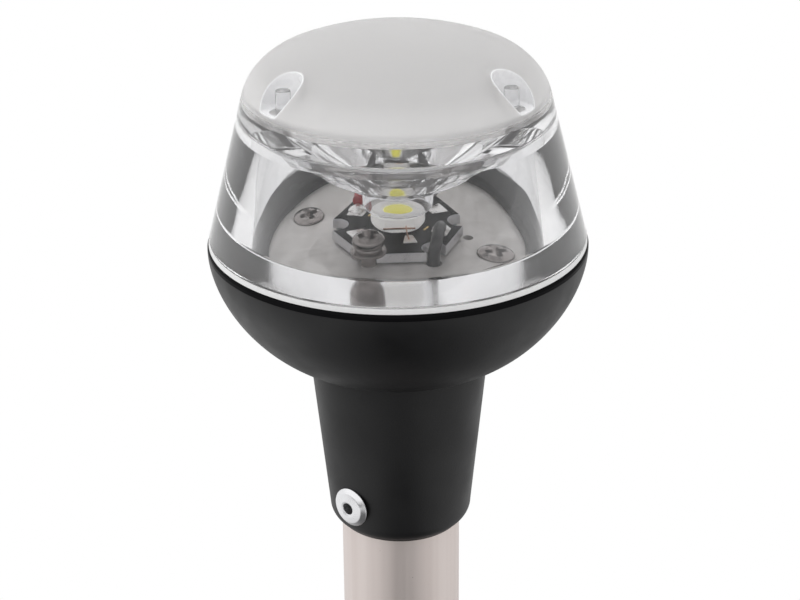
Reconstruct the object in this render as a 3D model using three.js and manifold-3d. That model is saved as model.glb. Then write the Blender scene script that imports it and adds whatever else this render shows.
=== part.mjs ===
// An all-round LED navigation light on a plug-in pole, in millimetres, +Z up the pole.
// The origin is the middle of the plug's flat lower face, between the two contact pins.
import * as THREE from 'three';
import { mergeVertices } from 'three/addons/utils/BufferGeometryUtils.js';
import Module from 'manifold-3d';

const wasm = await Module();
wasm.setup();

// ---- Driving dimensions ----
const ROUND = 32; // sides of a large round
const SMALL = 12; // sides of a small round
const FIT = 0.1; // play between pieces that only rest on each other

const POLE_R = 19.05 / 2; // three quarter inch tube
const POLE_WALL = 1.2;
const POLE_INNER_R = POLE_R - POLE_WALL;

const HEAD_Z = 211.2; // the plane where the lens meets the base housing
const SOCKET_LENGTH = 48.6; // from that plane down to the socket's mouth
const POLE_DEPTH = 24.3; // how far the pole goes into the socket
const SOCKET_MOUTH_R = 11.38;
const SOCKET_TAPER = 0.092;
const SOCKET_ROUND = 2.7; // rounding of the socket's mouth edge

const RIM_R = 29.3; // the base housing at the lens
const LENS_R = 29.17;
const LENS_DRAFT = 0.2556; // the wall leans in by this much per millimetre of height
const CAP_EDGE_Z = 22.8; // where the frosted cap starts, above the lens's foot
const SHOULDER_R = 9.46; // rounding between the wall and the dome
const DOME_R = 46.82;
const APEX_Z = 32.82;
const CAP_WALL = 2.1;

const RECESS_ANGLES = [-33.5, -145.2, 90.6]; // of the cap's scallops, degrees
const RECESS_AT_R = 20.2;
const RECESS_R = 3.3;
const RECESS_FLOOR_Z = 24.2;
const POST_R = 1.2;
const POST_AT_R = 19.9;
const POST_TOP_Z = 27.6; // nearly flush with the dome

const SEAL_INNER_R = 28.15; // the pale ring let into the lens's foot
const SEAL_OUTER_R = 29.1;
const SEAL_TOP_Z = 0.8;
const LIP_TOP_Z = 0.4; // of the housing's lip round the plate

const PLATE_Z = -0.95; // the plate's top, below the lens's foot
const PLATE_R = 20.2;
const PLATE_T = 2;
const PLATE_SCREW_R = 16; // where the plate's screws sit
const PLATE_SCREW_ANGLES = [-23, 159];
const SMALL_HOLE_R = 0.75;
const SMALL_HOLE_AT = 11.2;
const SMALL_HOLE_ANGLE = -7;

// The star board and all that stands on it, in heights above the plate
const STAR_TURN = 3; // degrees
const STAR_FLAT = 9.8; // from the star board's middle to its flats
const STAR_NOTCH_AT = 9.8;
const STAR_NOTCH_R = 1.8;
const STAR_BOTTOM_Z = 0.3;
const STAR_TOP_Z = 1.8;
const STAR_SCREW_ANGLES = [-117.5, 62.5];
const WIRE_HOLE_ANGLES = [-64, 116];
const STAR_SCREW_AT = 10.5;
const WIRE_HOLE_AT = 10.8;

const LED_R = 4.3;
const LED_FLAT = 3.7; // from the LED's middle to its flat sides, where the leads come out
const LED_TOP_Z = 4.7;

const DRIVER_TOP_Z = -8; // top of the driver board, under the plate
const DRIVER_T = 1;
const DRIVER_R = 12.5;

const RIVET_ANGLES = [-130.3, 49.7];
const RIVET_Z = -42.55;
const RIVET_HEAD_R = 3.2;
const RIVET_SHANK_R = 1.6;

const PLUG_NOSE_R = 10.9;
const PLUG_SHOULDER_R = 13;
const PLUG_SHOULDER_Z = 15;
const PLUG_SHOULDER_TOP = 17;
const PLUG_SPIGOT_TOP = 36;
const PIN_X = 4.2;
const PIN_LENGTH = 10; // below the plug's face
const PIN_RADII = [2, 1.6]; // the two pins differ, so the plug goes in one way
const PIN_TOP = 15;
const CROSS_PIN_Z = 27;
const CROSS_PIN_R = 1.2;

const WASHER_Z = PLUG_SHOULDER_TOP + FIT;
const WASHER_T = 1.2;
const SLEEVE_R = 9.95; // the hole that slides on the pole
const COLLAR_FOOT_Z = 3;
const COLLAR_TOP_Z = 22;
const COLLAR_BORE_R = 13.7;
const COLLAR_R = 16.6;
const COLLAR_GRIPS = 16;
const THREAD_PITCH = 3;
const THREAD_DEPTH = 0.8;

const LEAD_R = 0.9;
const WIRE_R = 0.9;

// ---- Materials ----
const material = (color, roughness, metalness) =>
  new THREE.MeshStandardMaterial({ color, roughness, metalness });
const CLEAR = new THREE.MeshStandardMaterial({
  color: 0xf2f5f7, roughness: 0.03, metalness: 0, transparent: true, opacity: 0.35,
});
const FROSTED = new THREE.MeshStandardMaterial({
  color: 0xd8d8d6, roughness: 0.5, metalness: 0, transparent: true, opacity: 0.8,
});
const BLACK_NYLON = material(0x1d1d20, 0.5, 0);
const POLE_METAL = material(0xcdc3be, 0.35, 1);
const PLATE_METAL = material(0xb9b4ad, 0.45, 1);
const BRIGHT_METAL = material(0xc9c9cb, 0.25, 1);
const BRASS = material(0xc9a45a, 0.3, 1);
const BOARD_BLACK = material(0x161616, 0.5, 0);
const BOARD_GREEN = material(0x1f5a34, 0.5, 0);
const LED_WHITE = material(0xeeeae2, 0.4, 0);
const PHOSPHOR = material(0xe4d93a, 0.4, 0);
const RED_SLEEVE = material(0xc01a22, 0.45, 0);
const BLACK_SLEEVE = material(0x151515, 0.45, 0);
const RUBBER = material(0x141414, 0.8, 0);
const PAD_GREY = material(0x9aa0a4, 0.9, 0);
const WHITE_SILICONE = material(0xe0e0de, 0.5, 0);

// ---- Solids ----
const radians = THREE.MathUtils.degToRad;

// A closed geometry as a solid that can be cut and joined, its faces turned outward.
function solid(geometry) {
  const bare = geometry.clone();
  bare.deleteAttribute('normal');
  bare.deleteAttribute('uv');
  const merged = mergeVertices(bare, 1e-4);
  const at = merged.attributes.position.array;
  const index = merged.index.array;
  const corners = [];
  let volume = 0;
  for (let i = 0; i < index.length; i += 3) {
    const [a, b, c] = [index[i], index[i + 1], index[i + 2]];
    if (a === b || b === c || c === a) continue;
    corners.push(a, b, c);
    const [p, q, r] = [a, b, c].map((k) => new THREE.Vector3().fromArray(at, 3 * k));
    volume += p.dot(q.cross(r));
  }
  if (volume < 0) corners.reverse();
  return new wasm.Manifold(new wasm.Mesh({
    numProp: 3,
    vertProperties: Float32Array.from(at),
    triVerts: Uint32Array.from(corners),
  }));
}

function geometryOf(body) {
  const { vertProperties, triVerts } = body.getMesh();
  const geometry = new THREE.BufferGeometry();
  geometry.setAttribute('position', new THREE.BufferAttribute(Float32Array.from(vertProperties), 3));
  geometry.setIndex(new THREE.BufferAttribute(Uint32Array.from(triVerts), 1));
  geometry.computeVertexNormals();
  return geometry;
}

// A body of revolution about Z from [radius, height] points.
function turned(points, sides = ROUND) {
  const outline = points.map(([r, z]) => new THREE.Vector2(r, z));
  const onAxis = points[0][0] === 0;
  if (!onAxis) outline.push(outline[0].clone());
  return solid(new THREE.LatheGeometry(outline, sides).rotateX(Math.PI / 2));
}

const turnedSmall = (points) => turned(points, SMALL);
const disc = (r, low, high, sides = SMALL) => turned([[0, low], [r, low], [r, high], [0, high]], sides);
const ring = (inner, outer, low, high, sides = ROUND) =>
  turned([[inner, low], [outer, low], [outer, high], [inner, high]], sides);

// A block from its lowest to its highest corner.
function block([x0, y0, z0], [x1, y1, z1]) {
  const box = new THREE.BoxGeometry(x1 - x0, y1 - y0, z1 - z0);
  return solid(box.translate((x0 + x1) / 2, (y0 + y1) / 2, (z0 + z1) / 2));
}

// A flat outline of [x, y] points, raised from low to high.
function raised(points, low, high) {
  const shape = new THREE.Shape(points.map(([x, y]) => new THREE.Vector2(x, y)));
  const geometry = new THREE.ExtrudeGeometry(shape, { depth: high - low, bevelEnabled: false });
  return solid(geometry.translate(0, 0, low));
}

// A round rod along a smooth curve through the points.
function rod(points, r, steps) {
  const path = new THREE.CatmullRomCurve3(points.map((p) => new THREE.Vector3(...p)));
  const section = new THREE.Shape();
  section.absarc(0, 0, r, 0, 2 * Math.PI);
  return solid(new THREE.ExtrudeGeometry(section, { steps, extrudePath: path, curveSegments: 4 }));
}

const onCircle = (r, degrees) => [r * Math.cos(radians(degrees)), r * Math.sin(radians(degrees))];
const movedTo = (body, r, degrees) => body.translate([...onCircle(r, degrees), 0]);

// Lays a body that was made along +Z so that it points outward at an angle round the pole.
const pointedOut = (body, degrees, z) => body.rotate([0, 90, degrees]).translate([0, 0, z]);

const join = (bodies) => bodies.reduce((whole, body) => whole.add(body));
const cut = (body, tools) => tools.reduce((rest, tool) => rest.subtract(tool), body);

// ---- The light head, in heights above the lens's foot ----
const head = new THREE.Group();
head.position.z = HEAD_Z;

function put(group, name, body, finish) {
  const mesh = new THREE.Mesh(geometryOf(body), finish);
  mesh.name = name;
  group.add(mesh);
}

// Points of an arc about [r, z] from one angle to another, in degrees.
function arc([r, z], radius, from, to, steps) {
  return Array.from({ length: steps + 1 }, (_, i) => {
    const angle = radians(from + ((to - from) * i) / steps);
    return [r + radius * Math.cos(angle), z + radius * Math.sin(angle)];
  });
}

const wallRadius = (z) => LENS_R - LENS_DRAFT * z;

// The shoulder's rounding touches the drafted wall and the dome, which sets its middle.
const DOME_Z = APEX_Z - DOME_R;
const WALL_LEAN = Math.atan(LENS_DRAFT);
function shoulderMiddle() {
  const reach = DOME_R - SHOULDER_R;
  const offset = LENS_R - SHOULDER_R / Math.cos(WALL_LEAN); // wall line moved in by the rounding
  // r = offset - draft * z meets r^2 + (z - DOME_Z)^2 = reach^2
  const a = 1 + LENS_DRAFT ** 2;
  const b = -2 * (offset * LENS_DRAFT + DOME_Z);
  const c = offset ** 2 + DOME_Z ** 2 - reach ** 2;
  const z = (-b + Math.sqrt(b * b - 4 * a * c)) / (2 * a);
  return [offset - LENS_DRAFT * z, z];
}
const [shoulderAtR, shoulderAtZ] = shoulderMiddle();

// The cap's skin, inset by a wall thickness, from its edge to the axis.
function capSkin(inset, edgeZ) {
  const domeAngle = THREE.MathUtils.radToDeg(Math.atan2(shoulderAtZ - DOME_Z, shoulderAtR));
  const leanAngle = THREE.MathUtils.radToDeg(WALL_LEAN);
  const wallInset = inset / Math.cos(WALL_LEAN);
  return [
    [wallRadius(edgeZ) - wallInset, edgeZ],
    ...arc([shoulderAtR, shoulderAtZ], SHOULDER_R - inset, leanAngle, domeAngle, 5)
      .filter(([, z]) => z > edgeZ),
    ...arc([0, DOME_Z], DOME_R - inset, domeAngle, 90, 3).slice(1, -1),
    [0, APEX_Z - inset],
  ];
}

// The thick wall flares at its foot, over the housing's lip, and is stepped for the seal outside.
// The funnel's steps turn the light outward.
const LENS_PROFILE = [
  [0, 7],
  [4.7, 6.6],
  [4.9, 3.9],
  [5.7, 3.9],
  [5.7, 7.2],
  [10.3, 9.3],
  [11.6, 10.7],
  [13.1, 11.1],
  [13.9, 13.1],
  [16.2, 13.8],
  [17.3, 16.1],
  [20.7, 19.5],
  [21.3, 17.5],
  [22.6, 3],
  [26.4, 0],
  [SEAL_INNER_R - 0.05, 0],
  [SEAL_INNER_R - 0.05, SEAL_TOP_Z + 0.05],
  [wallRadius(SEAL_TOP_Z + 0.05), SEAL_TOP_Z + 0.05],
  [wallRadius(CAP_EDGE_Z - FIT), CAP_EDGE_Z - FIT],
  [19.8, CAP_EDGE_Z - FIT],
  [17, 21.5],
  [1, 8.3],
  [0, 8],
];

const recessAt = (r, low, high) =>
  RECESS_ANGLES.map((degrees) => movedTo(disc(r, low, high), RECESS_AT_R, degrees));
const postAt = (r, low, high) =>
  RECESS_ANGLES.map((degrees) => movedTo(disc(r, low, high), POST_AT_R, degrees));

function globeLens() {
  return join([turned(LENS_PROFILE), ...postAt(POST_R, CAP_EDGE_Z - 1, POST_TOP_Z)]);
}

function frostedCap() {
  const outside = capSkin(0, CAP_EDGE_Z);
  const inside = capSkin(CAP_WALL, CAP_EDGE_Z);
  const shell = turned([...outside, ...inside.reverse()]);
  const underCap = turned([[0, CAP_EDGE_Z], ...outside]);
  const cups = recessAt(RECESS_R + 1.2, CAP_EDGE_Z, APEX_Z).map((cup) => cup.intersect(underCap));
  const hollows = recessAt(RECESS_R, RECESS_FLOOR_Z, APEX_Z);
  const postHoles = postAt(POST_R + FIT, CAP_EDGE_Z - 1, APEX_Z);
  return cut(join([shell, ...cups]), [...hollows, ...postHoles]);
}

const lensSeal = () => ring(SEAL_INNER_R, SEAL_OUTER_R, -0.05, SEAL_TOP_Z);

// ---- Base housing ----
const BOWL_FOOT_R = 11.6;
const BOWL_DEPTH = 19;
const BOWL_TOP_Z = -1.02;
const SEAT_Z = -FIT; // the lens stands just above this
const PLATE_SEAT_Z = PLATE_Z - PLATE_T - FIT;
const FLOOR_Z = -13; // of the driver's chamber
const CHAMBER_R = 18.6;
const BOSS_R = 2.9;
const GROMMET_HOLE_R = 4.2;
const SOCKET_MOUTH_Z = -SOCKET_LENGTH;

const socketRadius = (z) => SOCKET_MOUTH_R + SOCKET_TAPER * (z - SOCKET_MOUTH_Z);

// The bowl's outline is a slightly flattened quarter ellipse.
function bowl(steps, lastDegrees) {
  return Array.from({ length: steps + 1 }, (_, i) => {
    const t = radians((lastDegrees * i) / steps);
    return [
      BOWL_FOOT_R + (RIM_R - BOWL_FOOT_R) * Math.cos(t) ** 1.216,
      BOWL_TOP_Z - BOWL_DEPTH * Math.sin(t) ** 1.16,
    ];
  });
}

function baseHousing() {
  const mouthRound = arc([socketRadius(SOCKET_MOUTH_Z) - SOCKET_ROUND, SOCKET_MOUTH_Z + SOCKET_ROUND],
    SOCKET_ROUND, 0, -54, 3);
  const shell = turned([
    [RIM_R, SEAT_Z],
    ...bowl(7, 79.2),
    ...mouthRound,
    [POLE_R + 0.2, SOCKET_MOUTH_Z],
    [POLE_R + FIT, SOCKET_MOUTH_Z + 0.4],
    [POLE_R + FIT, -POLE_DEPTH],
    [GROMMET_HOLE_R, -POLE_DEPTH],
    [GROMMET_HOLE_R, FLOOR_Z],
    [CHAMBER_R - 3, FLOOR_Z],
    [CHAMBER_R, FLOOR_Z + 3],
    [CHAMBER_R, PLATE_SEAT_Z],
    [PLATE_R + 0.2, PLATE_SEAT_Z],
    [PLATE_R + 0.2, LIP_TOP_Z - 0.3],
    [PLATE_R + 0.5, LIP_TOP_Z],
    [22.2, LIP_TOP_Z],
    [22.5, LIP_TOP_Z - 0.3],
    [22.5, SEAT_Z],
  ]);
  const boss = (degrees) => movedTo(disc(BOSS_R, FLOOR_Z - 1, PLATE_SEAT_Z), PLATE_SCREW_R, degrees);
  const screwHole = (degrees) => movedTo(disc(1.35, FLOOR_Z + 2.5, 0), PLATE_SCREW_R, degrees);
  const driverPost = (degrees) =>
    movedTo(disc(1.8, FLOOR_Z - 1, DRIVER_TOP_Z - DRIVER_T - FIT), 9.5, degrees);
  const rivetHole = (degrees) => pointedOut(disc(RIVET_SHANK_R + 0.15, 7, 16), degrees, RIVET_Z);
  const body = join([shell, ...PLATE_SCREW_ANGLES.map(boss), ...[0, 120, 240].map(driverPost)]);
  return cut(body, [...PLATE_SCREW_ANGLES.map(screwHole), ...RIVET_ANGLES.map(rivetHole)]);
}

// ---- What lies under the lens, in heights above the plate ----
function heatSinkPlate() {
  const funnel = turned(
    [[0, -PLATE_T - 1], [1.35, -PLATE_T - 1], [1.35, -1.3], [2.9, 0], [2.9, 1], [0, 1]], SMALL);
  const countersink = (degrees) => movedTo(funnel, PLATE_SCREW_R, degrees);
  const tapped = (degrees) => movedTo(disc(1.3, -PLATE_T - 1, 1), STAR_SCREW_AT, degrees + STAR_TURN);
  const wireHole = (degrees) => movedTo(disc(1.2, -PLATE_T - 1, 1), WIRE_HOLE_AT, degrees + STAR_TURN);
  const smallHole = movedTo(disc(SMALL_HOLE_R, -PLATE_T - 1, 1), SMALL_HOLE_AT, SMALL_HOLE_ANGLE);
  return cut(disc(PLATE_R, -PLATE_T, 0, ROUND), [
    ...PLATE_SCREW_ANGLES.map(countersink),
    ...STAR_SCREW_ANGLES.map(tapped),
    ...WIRE_HOLE_ANGLES.map(wireHole),
    smallHole,
  ]);
}

// A cross recess, sunk into the top of a screw head.
function crossRecess(span, width, depth, top) {
  const bar = block([-span / 2, -width / 2, top - depth], [span / 2, width / 2, top + 1]);
  return bar.add(bar.rotate([0, 0, 90]));
}

// A raised countersunk head, standing a little above the plate.
function plateScrew(degrees) {
  const crown = 0.5;
  const screw = turned(
    [[0, -8.5], [1.2, -8], [1.2, -1.25], [2.75, -0.05], [2.75, 0.1], [1.8, 0.4], [0, crown]], SMALL);
  const slotted = screw.subtract(crossRecess(2.9, 0.7, 1.2, crown)).rotate([0, 0, 20]);
  return movedTo(slotted, PLATE_SCREW_R, degrees);
}

// A six-sided outline with its flats at the given distance.
const hexagon = (flat) => Array.from({ length: 6 }, (_, i) => onCircle(flat / Math.cos(radians(30)), 60 * i));

function starShape(flat, low, high) {
  const notch = disc(STAR_NOTCH_R, -1, 5);
  const notches = Array.from({ length: 6 }, (_, i) => movedTo(notch, STAR_NOTCH_AT, 60 * i));
  return cut(raised(hexagon(flat), low, high), notches);
}

const thermalPad = () => starShape(STAR_FLAT - 0.4, 0.05, STAR_BOTTOM_Z - 0.05);
const starBoard = () => starShape(STAR_FLAT, STAR_BOTTOM_Z, STAR_TOP_Z);

function ledBody() {
  const body = turned([
    [0, STAR_TOP_Z + 0.05],
    [LED_R - 0.4, STAR_TOP_Z + 0.05],
    [LED_R, STAR_TOP_Z + 0.5],
    [LED_R, LED_TOP_Z - 0.8],
    [LED_R - 0.35, LED_TOP_Z - 0.7],
    [LED_R - 0.5, LED_TOP_Z],
    [2.2, LED_TOP_Z],
    [2, LED_TOP_Z - 0.6],
    [0, LED_TOP_Z - 0.6],
  ], 24);
  const flatSide = block([-3, -6, 0], [3, -LED_FLAT, 3.45]);
  return cut(body, [flatSide, flatSide.rotate([0, 0, 180])]);
}

// The yellow dome of phosphor in the LED's cup.
function ledPhosphor() {
  const foot = LED_TOP_Z - 0.55;
  return turned([[0, foot], [1.92, foot], [1.92, foot + 0.25], [1.4, foot + 0.4], [0, foot + 0.45]], 24);
}

// A gull-wing lead from the LED's side down to its pad.
function ledLead(turn) {
  const lead = join([
    block([0.7, -4.6, 2.4], [1.5, -LED_FLAT, 2.6]),
    block([0.7, -4.8, 1.9], [1.5, -4.55, 2.6]),
    block([0.7, -6.2, 1.85], [1.5, -4.6, 2.05]),
  ]);
  return lead.rotate([0, 0, turn]);
}

const WASHER_TOP_Z = STAR_TOP_Z + 1.2;
function starScrew(degrees) {
  const seat = WASHER_TOP_Z + 0.05;
  const screw = turned([
    [0, -4],
    [1.05, -3.7],
    [1.05, seat],
    [2.4, seat],
    [2.5, seat + 0.9],
    [2.1, seat + 1.5],
    [0, seat + 1.7],
  ], SMALL);
  return movedTo(screw.subtract(crossRecess(2.8, 0.7, 1, seat + 1.7)), STAR_SCREW_AT, degrees);
}
const flatWasher = (degrees) =>
  movedTo(ring(1.35, 2.7, STAR_TOP_Z + 0.05, STAR_TOP_Z + 0.45, SMALL), STAR_SCREW_AT, degrees);

function springWasher(degrees) {
  const coil = ring(1.4, 2.35, STAR_TOP_Z + 0.5, WASHER_TOP_Z, SMALL);
  const split = block([1, -0.15, 0], [3, 0.15, 5]);
  return movedTo(coil.subtract(split), STAR_SCREW_AT, degrees);
}

// The wires rise from their solder pads, bend over the board's edge and go down through the plate.
const WIRE_FOOT_Z = DRIVER_TOP_Z - PLATE_Z + 0.3;
function wire([startX, startY], [holeX, holeY]) {
  return rod([
    [startX, startY, 2.75],
    [startX * 0.7 + holeX * 0.3, startY * 0.65 + holeY * 0.35, 3.1],
    [holeX * 1.1, holeY * 0.92, 2.7],
    [holeX, holeY, 0.7],
    [holeX, holeY, -3],
    [holeX, holeY, WIRE_FOOT_Z],
  ], WIRE_R, 16);
}
const redWire = () => wire([-6.4, 4.9], onCircle(WIRE_HOLE_AT, WIRE_HOLE_ANGLES[1]));
const blackWire = () => wire([6.4, -3.9], onCircle(WIRE_HOLE_AT, WIRE_HOLE_ANGLES[0]));

// ---- The driver under the plate ----
function driverBoard() {
  const board = disc(DRIVER_R, DRIVER_TOP_Z - DRIVER_T, DRIVER_TOP_Z, ROUND);
  return board.subtract(disc(1.2, -20, 0).translate([0, 8, 0]));
}

const driverInductor = () => disc(3, DRIVER_TOP_Z + 0.05, DRIVER_TOP_Z + 3, 20).translate([-5, -2, 0]);
const driverChip = () => block([0.5, -2, DRIVER_TOP_Z + 0.05], [4.5, 2, DRIVER_TOP_Z + 1.6]);
const driverCapacitor = () => disc(2.3, DRIVER_TOP_Z + 0.05, DRIVER_TOP_Z + 3.5, 20).translate([7.2, 3.4, 0]);

function grommet() {
  return turned([
    [3, FLOOR_Z + 1.2],
    [5.6, FLOOR_Z + 1.2],
    [5.6, FLOOR_Z + FIT],
    [GROMMET_HOLE_R - FIT, FLOOR_Z + FIT],
    [GROMMET_HOLE_R - FIT, -20],
    [3, -20],
  ], 24);
}

// ---- Rivets ----
// A blind rivet along +Z: domed head outside, clenched bulb inside the tube, open down the middle.
function blindRivet() {
  const under = socketRadius(RIVET_Z + RIVET_HEAD_R) + 0.05;
  return turnedSmall([
    [0.95, 6.3],
    [RIVET_SHANK_R, 6.3],
    [2.3, 7],
    [2.3, POLE_INNER_R - 0.75],
    [RIVET_SHANK_R, POLE_INNER_R - 0.1],
    [RIVET_SHANK_R, under],
    [RIVET_HEAD_R, under],
    [RIVET_HEAD_R - 0.2, under + 0.35],
    [2.2, under + 1],
    [1.2, under + 1.2],
    [0.95, under + 1.1],
  ]);
}
const rivetStem = () => turned([[0, 5], [1.1, 5.2], [1.1, 5.9], [0.8, 6.25], [0.8, 11.3], [0, 11.3]], SMALL);

const deck = new THREE.Group();
deck.position.z = PLATE_Z;
const star = new THREE.Group();
star.rotation.z = radians(STAR_TURN);
deck.add(star);
head.add(deck);

put(head, 'globe_lens', globeLens(), CLEAR);
put(head, 'frosted_cap', frostedCap(), FROSTED);
put(head, 'lens_seal', lensSeal(), WHITE_SILICONE);
put(head, 'base_housing', baseHousing(), BLACK_NYLON);
put(deck, 'heat_sink_plate', heatSinkPlate(), PLATE_METAL);
put(star, 'thermal_pad', thermalPad(), PAD_GREY);
put(star, 'star_board', starBoard(), BOARD_BLACK);
put(star, 'led_body', ledBody(), LED_WHITE);
put(star, 'led_phosphor', ledPhosphor(), PHOSPHOR);
put(star, 'led_lead_front', ledLead(0), BRIGHT_METAL);
put(star, 'led_lead_back', ledLead(180), BRIGHT_METAL);
put(star, 'red_wire', redWire(), RED_SLEEVE);
put(star, 'black_wire', blackWire(), BLACK_SLEEVE);
['front', 'back'].forEach((side, i) => {
  put(deck, `plate_screw_${side}`, plateScrew(PLATE_SCREW_ANGLES[i]), BRIGHT_METAL);
  put(star, `star_screw_${side}`, starScrew(STAR_SCREW_ANGLES[i]), BRIGHT_METAL);
  put(star, `spring_washer_${side}`, springWasher(STAR_SCREW_ANGLES[i]), BRIGHT_METAL);
  put(star, `flat_washer_${side}`, flatWasher(STAR_SCREW_ANGLES[i]), BRIGHT_METAL);
  put(head, `head_rivet_${side}`, pointedOut(blindRivet(), RIVET_ANGLES[i], RIVET_Z), BRIGHT_METAL);
  put(head, `rivet_stem_${side}`, pointedOut(rivetStem(), RIVET_ANGLES[i], RIVET_Z), BRIGHT_METAL);
});
put(head, 'driver_board', driverBoard(), BOARD_GREEN);
put(head, 'driver_inductor', driverInductor(), RUBBER);
put(head, 'driver_chip', driverChip(), BOARD_BLACK);
put(head, 'driver_capacitor', driverCapacitor(), BRIGHT_METAL);
put(head, 'cable_grommet', grommet(), RUBBER);

// ---- Pole, plug and collar, in heights above the plug's face ----
const POLE_FOOT = PLUG_SHOULDER_TOP + FIT;
const POLE_TOP = HEAD_Z - POLE_DEPTH - FIT;
const tail = new THREE.Group();

function pole() {
  const tube = ring(POLE_INNER_R, POLE_R, POLE_FOOT, POLE_TOP);
  const rivetHoles = RIVET_ANGLES.map((degrees) =>
    pointedOut(disc(RIVET_SHANK_R + 0.15, 6, 12), degrees, HEAD_Z + RIVET_Z));
  const pinHole = disc(CROSS_PIN_R + 0.1, -20, 20).rotate([90, 0, 0]).translate([0, 0, CROSS_PIN_Z]);
  return cut(tube, [...rivetHoles, pinHole]);
}

function plugBody() {
  const body = turned([
    [0, 0],
    [PLUG_NOSE_R - 0.8, 0],
    [PLUG_NOSE_R, 0.8],
    [PLUG_NOSE_R, 8],
    [PLUG_NOSE_R - 1.4, 8],
    [PLUG_NOSE_R - 1.4, 10.2],
    [PLUG_NOSE_R, 10.2],
    [PLUG_NOSE_R, PLUG_SHOULDER_Z],
    [PLUG_SHOULDER_R, PLUG_SHOULDER_Z],
    [PLUG_SHOULDER_R, PLUG_SHOULDER_TOP],
    [POLE_INNER_R - 0.15, PLUG_SHOULDER_TOP],
    [POLE_INNER_R - 0.15, PLUG_SPIGOT_TOP - 1],
    [POLE_INNER_R - 1, PLUG_SPIGOT_TOP],
    [0, PLUG_SPIGOT_TOP],
  ]);
  const key = block([-1.2, PLUG_NOSE_R - 1, 1], [1.2, PLUG_NOSE_R + 1.3, 7]);
  const channels = [PIN_X, -PIN_X].map((x) => disc(2.3, PIN_TOP + 0.5, 40).translate([x, 0, 0]));
  const pinHoles = PIN_RADII.map((r, i) => disc(r + 0.05, -1, 20).translate([i ? -PIN_X : PIN_X, 0, 0]));
  const crossHole = disc(CROSS_PIN_R + 0.1, -20, 20).rotate([90, 0, 0]).translate([0, 0, CROSS_PIN_Z]);
  return cut(body.add(key), [...channels, ...pinHoles, crossHole]);
}

function contactPin(r, x) {
  return turned([
    [0, -PIN_LENGTH],
    [r - 0.8, -PIN_LENGTH],
    [r - 0.2, -PIN_LENGTH + 0.6],
    [r, -PIN_LENGTH + 1.6],
    [r, PIN_TOP],
    [0, PIN_TOP],
  ], SMALL).translate([x, 0, 0]);
}

function crossPin() {
  const pin = disc(CROSS_PIN_R, -POLE_R + 0.15, POLE_R - 0.15);
  return pin.rotate([90, 0, 0]).translate([0, 0, CROSS_PIN_Z]);
}

function sealingRing() {
  return turned(arc([PLUG_NOSE_R - 0.4, 9.1], 0.95, 0, 300, 5), ROUND);
}

const supplyLead = (side) =>
  rod([
    [side * 1.5, 0, HEAD_Z + DRIVER_TOP_Z - DRIVER_T - 0.3],
    [side * 1.4, 0, HEAD_Z - 16],
    [side * 2, side * 1.5, 150],
    [side * 1.2, -side * 2.5, 100],
    [side * 3, side * 1, 60],
    [side * PIN_X, 0, PLUG_SPIGOT_TOP - 2],
    [side * PIN_X, 0, PIN_TOP + 0.8],
  ], LEAD_R, 20);

// The washer rides between the plug's shoulder and the collar.
const collarWasher = () => ring(SLEEVE_R, 13.3, WASHER_Z, WASHER_Z + WASHER_T);

// The collar's outside has a row of ribs for grip: a coarse cosine wave round it.
function gripOutline() {
  const steps = COLLAR_GRIPS * 3;
  return Array.from({ length: steps }, (_, i) => {
    const degrees = (360 * i) / steps;
    return onCircle(COLLAR_R + 0.5 * Math.cos(radians(COLLAR_GRIPS * degrees)), degrees);
  });
}

function lockCollar() {
  const flangeFoot = WASHER_Z + WASHER_T + FIT;
  const grip = raised(gripOutline(), COLLAR_FOOT_Z + 2, COLLAR_TOP_Z);
  const edge = turned([
    [0, COLLAR_FOOT_Z],
    [COLLAR_R - 0.6, COLLAR_FOOT_Z],
    [COLLAR_R + 0.7, COLLAR_FOOT_Z + 2],
    [COLLAR_R + 0.7, COLLAR_TOP_Z - 2],
    [COLLAR_R - 1.3, COLLAR_TOP_Z],
    [0, COLLAR_TOP_Z],
  ]);
  const foot = disc(COLLAR_R - 0.6, COLLAR_FOOT_Z, COLLAR_FOOT_Z + 3, ROUND);
  const threads = Array.from({ length: 3 }, (_, i) => COLLAR_FOOT_Z + 1.4 + THREAD_PITCH * i);
  const bore = turned([
    [0, COLLAR_FOOT_Z - 1],
    [COLLAR_BORE_R, COLLAR_FOOT_Z - 1],
    ...threads.flatMap((z) => [
      [COLLAR_BORE_R, z],
      [COLLAR_BORE_R + THREAD_DEPTH, z + 0.8],
      [COLLAR_BORE_R + THREAD_DEPTH, z + 1.2],
      [COLLAR_BORE_R, z + 2],
    ]),
    [COLLAR_BORE_R, flangeFoot],
    [SLEEVE_R, flangeFoot],
    [SLEEVE_R, COLLAR_TOP_Z + 1],
    [0, COLLAR_TOP_Z + 1],
  ]);
  return grip.intersect(edge).add(foot).subtract(bore);
}

put(tail, 'pole', pole(), POLE_METAL);
put(tail, 'plug_body', plugBody(), BLACK_NYLON);
put(tail, 'contact_pin_positive', contactPin(PIN_RADII[0], PIN_X), BRASS);
put(tail, 'contact_pin_negative', contactPin(PIN_RADII[1], -PIN_X), BRASS);
put(tail, 'plug_cross_pin', crossPin(), BRIGHT_METAL);
put(tail, 'plug_sealing_ring', sealingRing(), RUBBER);
put(tail, 'supply_lead_red', supplyLead(1), RED_SLEEVE);
put(tail, 'supply_lead_black', supplyLead(-1), BLACK_SLEEVE);
put(tail, 'collar_washer', collarWasher(), BRIGHT_METAL);
put(tail, 'lock_collar', lockCollar(), BLACK_NYLON);

const light = new THREE.Group();
light.add(head, tail);
export default light;
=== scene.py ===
"""Looks of the all-round navigation light: smooth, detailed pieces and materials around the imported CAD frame.

Lengths in the tables below are millimetres, measured from the plane where the lens meets the base housing.
Everything that is built is turned into metres and lifted to that plane by the helpers.
"""

import math

import bmesh
import bpy
from mathutils import Matrix, Vector


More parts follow.
